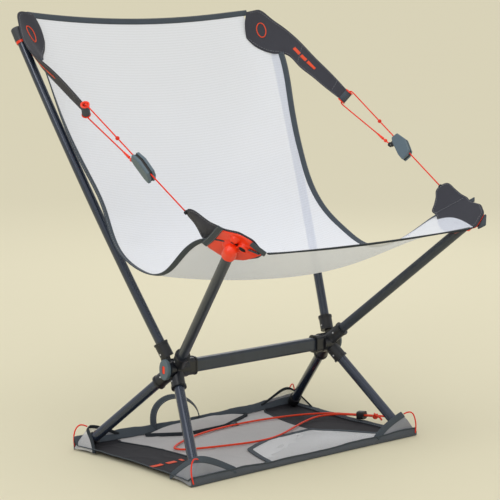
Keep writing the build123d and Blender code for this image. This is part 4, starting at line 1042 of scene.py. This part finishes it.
def build_ground_sheet():
    points = []
    for v in np.linspace(-1, 1, SHEET_ROWS):
        edge = sheet_side(v)
        inner = panel_edge(v)
        xs = np.concatenate([np.linspace(-edge, -inner, END_COLUMNS),
                             np.linspace(-inner, inner, MIDDLE_COLUMNS)[1:-1],
                             np.linspace(inner, edge, END_COLUMNS)])
        points.append([ground_point(x, SHEET_MID + v * sheet_depth(x / SHEET_X)) for x in xs])
    columns = len(points[0])
    kinds = [0 if END_COLUMNS - 1 <= c < columns - END_COLUMNS else 1 for c in range(columns - 1)]
    flat = [point for row in points for point in row]
    sheet = mesh_piece("ground_cloth", flat, grid_faces(SHEET_ROWS, columns),
                       [(p.x, p.y) for p in flat], M["ground"])
    sheet.data.materials.append(M["panel"])
    for face in sheet.data.polygons:
        column = min(face.vertices) % columns
        face.material_index = kinds[min(column, columns - 2)]
    settle(sheet, "base_sheet", "base_end_panels", slot="mesh_pale")
    steps = np.linspace(-1, 1, 140)

    def end_line(end, inset, lift):
        return [ground_point(t * SHEET_X, SHEET_MID + end * (sheet_depth(t) - inset), lift)
                for t in steps]

    def side_line(side, inset, lift):
        return [ground_point(side * (sheet_side(t) - inset), SHEET_MID + t * HALF_DEPTH, lift)
                for t in steps]
    for label, line_at, way in (("front", end_line, -1), ("back", end_line, 1),
                                ("left", side_line, LEFT), ("right", side_line, RIGHT)):
        outer = np.array(line_at(way, 0, 0.6 * MM))
        inner = np.array(line_at(way, HEM_WIDTH, 0.8 * MM))
        band = ribbon(f"ground_hem_{label}", (outer + inner) / 2, outer - inner,
                      np.linalg.norm(outer - inner, axis=1) + 1.2 * MM, 1.5 * MM, M["binding"])
        settle(band)
        line = inner + np.array((0, 0, 0.7 * MM))
        sew(f"ground_hem_stitches_{label}", line)
    for name, side in SIDES.items():
        seam = []
        for v in np.linspace(-0.93, 0.93, 90):
            seam.append(ground_point(side * panel_edge(v), SHEET_MID + v * HALF_DEPTH, 0.5 * MM))
        seam = np.array(seam)
        tape = ribbon(f"ground_seam_{name}", seam, (1, 0, 0), 4 * MM, 0.8 * MM, M["hem"])
        settle(tape)
    for label, end, lean in (("front", -1, -1.5), ("back", 1, 1.5)):
        rows = []
        for t in np.linspace(0, 1, 7):
            row = []
            for u in steps:
                top = ground_point(u * SHEET_X, SHEET_MID + end * (sheet_depth(u) - 1 * MM), 0)
                low = 0.8 * MM
                swell = math.sin(math.pi * t) * (2 + ripple(top.x, 0, t * 0.02, 0.03)) * MM
                row.append((top.x, top.y + t * lean * MM + end * swell * 0.6,
                            top.z * (1 - t) + low * t))
            rows.append(row)
        belly = surface(f"ground_belly_{label}", rows, M["belly"])
        settle(belly, slot="mesh_pale")


# ---- foot pockets
FRONT_POCKET = {"a": (134, -110, 9), "p": (196, -102, 33), "b": (209, -62, 4),
                "corner": (214, -112, 2.6)}
BACK_POCKET = {"a": (138, 145, 12), "p": (195, 142, 31), "b": (211, 106, 4),
               "corner": (214, 149, 3.0)}
POCKET_STEPS, POCKET_ROWS = 60, 14


def pocket_grid(shape, side):
    """Rows from the sheet's corner up to the opening, columns along it."""
    a, p, b, corner = (np.array(mm(*shape[key], side)) for key in ("a", "p", "b", "corner"))
    bottom = along_line([a, a * 0.45 + corner * 0.55, a * 0.12 + corner * 0.88,
                         corner, b * 0.2 + corner * 0.8, b], POCKET_STEPS)
    bottom[:, 2] = np.maximum(bottom[:, 2], 2.2 * MM)
    arch = along_line([a, a * 0.5 + p * 0.5 + np.array(mm(0, 0, 3.5)), p,
                       b * 0.5 + p * 0.5 + np.array(mm(0, 0, 3.0)), b], POCKET_STEPS)
    rows = []
    for t in np.linspace(0, 1, POCKET_ROWS):
        row = bottom * (1 - t) + arch * t
        belly = np.sin(math.pi * t) * np.sin(math.pi * np.linspace(0, 1, POCKET_STEPS))
        outward = unit(np.array([*(corner[:2] - p[:2]), 0]) + 1e-9)
        row = row + outward * belly[:, None] * 3.0 * MM
        waves = np.array([ripple(*(q * (1, 1, 2.4)), 0.022) for q in row])
        row = row + outward * (waves * belly)[:, None] * 2.2 * MM
        rows.append(row)
    return np.array(rows)


def build_pockets():
    for place, shape in (("front", FRONT_POCKET), ("back", BACK_POCKET)):
        for name, side in SIDES.items():
            grid = pocket_grid(shape, side)
            label = f"{place}_{name}"
            back = place == "back"
            cloth = surface(f"foot_pocket_{label}", grid, M["clear" if back else "pocket"])
            settle(cloth, f"foot_pockets_{place}")
            arch, below = grid[-1], grid[-4]
            band = ribbon(f"foot_pocket_binding_{label}", arch, arch - below + 1e-9,
                          (5 if back else 9.5) * MM, 1.6 * MM, M["hem" if back else "binding"])
            settle(band)
            width = lengths(grid[0])[-1]


# ---- pouch, stowage flap, handle and the marks on the sheet
POUCH = [(-60, -104), (-52, -72), (-32, -20), (26, 4), (113, 10), (150, -40), (178, -84),
         (176, -104)]
FLAP = [(-98, 140), (-42, 104), (28, 104), (108, 140)]


def build_pouch():
    outline = rounded_outline(POUCH, 9)

    def place(x, y, lift):
        return ground_point(x, y, 1.0 * MM + lift)
    cloth = leaf("mesh_pouch", outline, place, 0.5 * MM, M["pouch"], rings=24, count=200)
    settle(cloth, "base_pouch", slot="mesh_pale")
    rim = even_outline(outline, 260)
    path = np.array([ground_point(x, y, 1.9 * MM) for x, y in np.vstack([rim, rim[:1]])])
    sideways = unit(np.gradient(path, axis=0))[:, [1, 0, 2]] * (-1, 1, 0)
    tape = settle(ribbon("mesh_pouch_binding", path, sideways, 8 * MM, 0.9 * MM, M["binding"]))
    xs, ys = rim[:, 0], rim[:, 1]
    area = 0.5 * abs(np.dot(xs, np.roll(ys, -1)) - np.dot(ys, np.roll(xs, -1)))


def build_flap():
    outline = rounded_outline(FLAP, 9)

    def place(x, y, lift):
        return Vector((x, y, 2.2 * MM + lift))
    pillow = leaf("stowage_flap", outline, place, 2.0 * MM, M["flap"], rings=16, count=140,
                  crown=12 * MM)
    for vertex in pillow.data.vertices:
        x, y, z = vertex.co
        if z > 4 * MM:
            vertex.co.z += ripple(x, y * 2, 0.2, 0.03) * 1.4 * MM
    settle(pillow, "storage_flap")
    rim = even_outline(outline, 200)
    tape = ribbon("stowage_flap_binding", [Vector((x, y, 4.2 * MM)) for x, y in
                                           np.vstack([rim, rim[:1]])], (0, 0, 1), 6 * MM,
                  1.8 * MM, M["hem"])
    settle(tape)


HANDLE_Y = 144.5
HANDLE_ROUTE = [(-72, 1.8), (-77, 24), (-70, 44), (-48, 54), (-22, 51), (0, 38), (13, 20),
                (15, 1.8)]


def build_handle():
    line = cord_line([mm(x, HANDLE_Y, z) for x, z in HANDLE_ROUTE])
    radial = np.cross(unit(np.gradient(line, axis=0)), (0, 1, 0))
    facing = unit(radial * 0.55 + np.array((0, 0.83, 0)))
    webbing = ribbon("carry_handle_webbing", line, facing, 10 * MM, 1.4 * MM, M["webbing"])
    settle(webbing, "carry_handle")
    outward = np.cross(facing, unit(np.gradient(line, axis=0)))
    for face in (-1, 1):
        edge = line + facing * face * 3.6 * MM + outward * -0.8 * MM
        sew(f"carry_handle_stitches_{'near' if face < 0 else 'far'}", edge[6:-6])
    arc = [(mm(47 + 6 * math.cos(a), 103, 2.2 + 5.2 * max(0, math.sin(a))))
           for a in np.linspace(0, math.pi, 24)]
    settle(ribbon("bungee_keeper", arc, (0, 1, 0), 7 * MM, 0.9 * MM, M["binding"]))
    for k, (x, wide) in enumerate(((-186, 26), (-157, 16), (-139, 6))):
        bar = [(x - wide / 2, -4), (x + wide / 2, -4), (x + wide / 2, 4), (x - wide / 2, 4)]
        outline = rounded_outline(bar, 1)

        def place(px, py, lift):
            return ground_point(px, py, 0.5 * MM + lift)
        settle(leaf(f"sheet_mark_{k}", outline, place, 0.2 * MM, M["print"], rings=6, count=60))


# ---- camera, floor and light
CAMERA_AT = Vector((-1.656, -1.871, 0.6397))
CAMERA_AIM = Vector((0.0069, 0.0219, 0.2809))
LENS, SENSOR = 128.2, 36
FLOOR_REACH = 400


def build_stage():
    scene = bpy.context.scene
    camera_data = bpy.data.cameras.new("camera")
    camera_data.lens = LENS
    camera_data.sensor_width = SENSOR
    camera = bpy.data.objects.new("camera", camera_data)
    camera.location = CAMERA_AT
    camera.rotation_euler = (CAMERA_AIM - CAMERA_AT).to_track_quat("-Z", "Y").to_euler()
    scene.collection.objects.link(camera)
    scene.camera = camera

    pale = Recipe("floor_pale", rough=1.0, specular=0.0)
    pale.colour(pale.blend(pale.noise(2, 3), (0.750, 0.703, 0.526), (0.758, 0.711, 0.532)))
    corners = [(0, 0), (1, 0), (1, 1), (0, 1)]
    floor = mesh_piece("floor", [((2 * u - 1) * FLOOR_REACH, (2 * v - 1) * FLOOR_REACH, 0)
                                 for u, v in corners], [(0, 1, 2, 3)], corners, pale.material,
                       smooth=False)

    world = bpy.data.worlds.new("studio")
    world.use_nodes = True
    sky = world.node_tree.nodes["Background"]
    sky.inputs["Color"].default_value = (1, 0.995, 0.98, 1)
    sky.inputs["Strength"].default_value = 0.6
    scene.world = world
    lamps = [
        ("key", (-1.2, -1.0, 2.6), "SUN", 0.75, 0.9), ("top", (0.5, -0.3, 2.5), "SUN", 0.4, 1.1),
        ("glint_near", (-2.0, -0.6, 1.4), "AREA", 5, 0.7),
        ("glint_far", (1.6, 1.4, 1.6), "AREA", 5, 0.8),
    ]
    for name, place, kind, power, soft in lamps:
        data = bpy.data.lights.new(name, kind)
        data.energy = power
        if kind == "SUN":
            data.angle = soft
        else:
            data.size = soft
        lamp = bpy.data.objects.new(name, data)
        lamp.location = place
        aim = Vector((0, 0, 0.3)) - Vector(place)
        lamp.rotation_euler = aim.to_track_quat("-Z", "Y").to_euler()
        scene.collection.objects.link(lamp)
    scene.view_settings.view_transform = "Standard"


build_stage()
build_recline_cords()
build_bungee()
build_corner_loops()
build_sling()
build_sling_bindings()
build_front_patches()
build_corner_cups()
build_shoulder_straps()
build_ground_sheet()
build_pockets()
build_pouch()
build_flap()
build_handle()
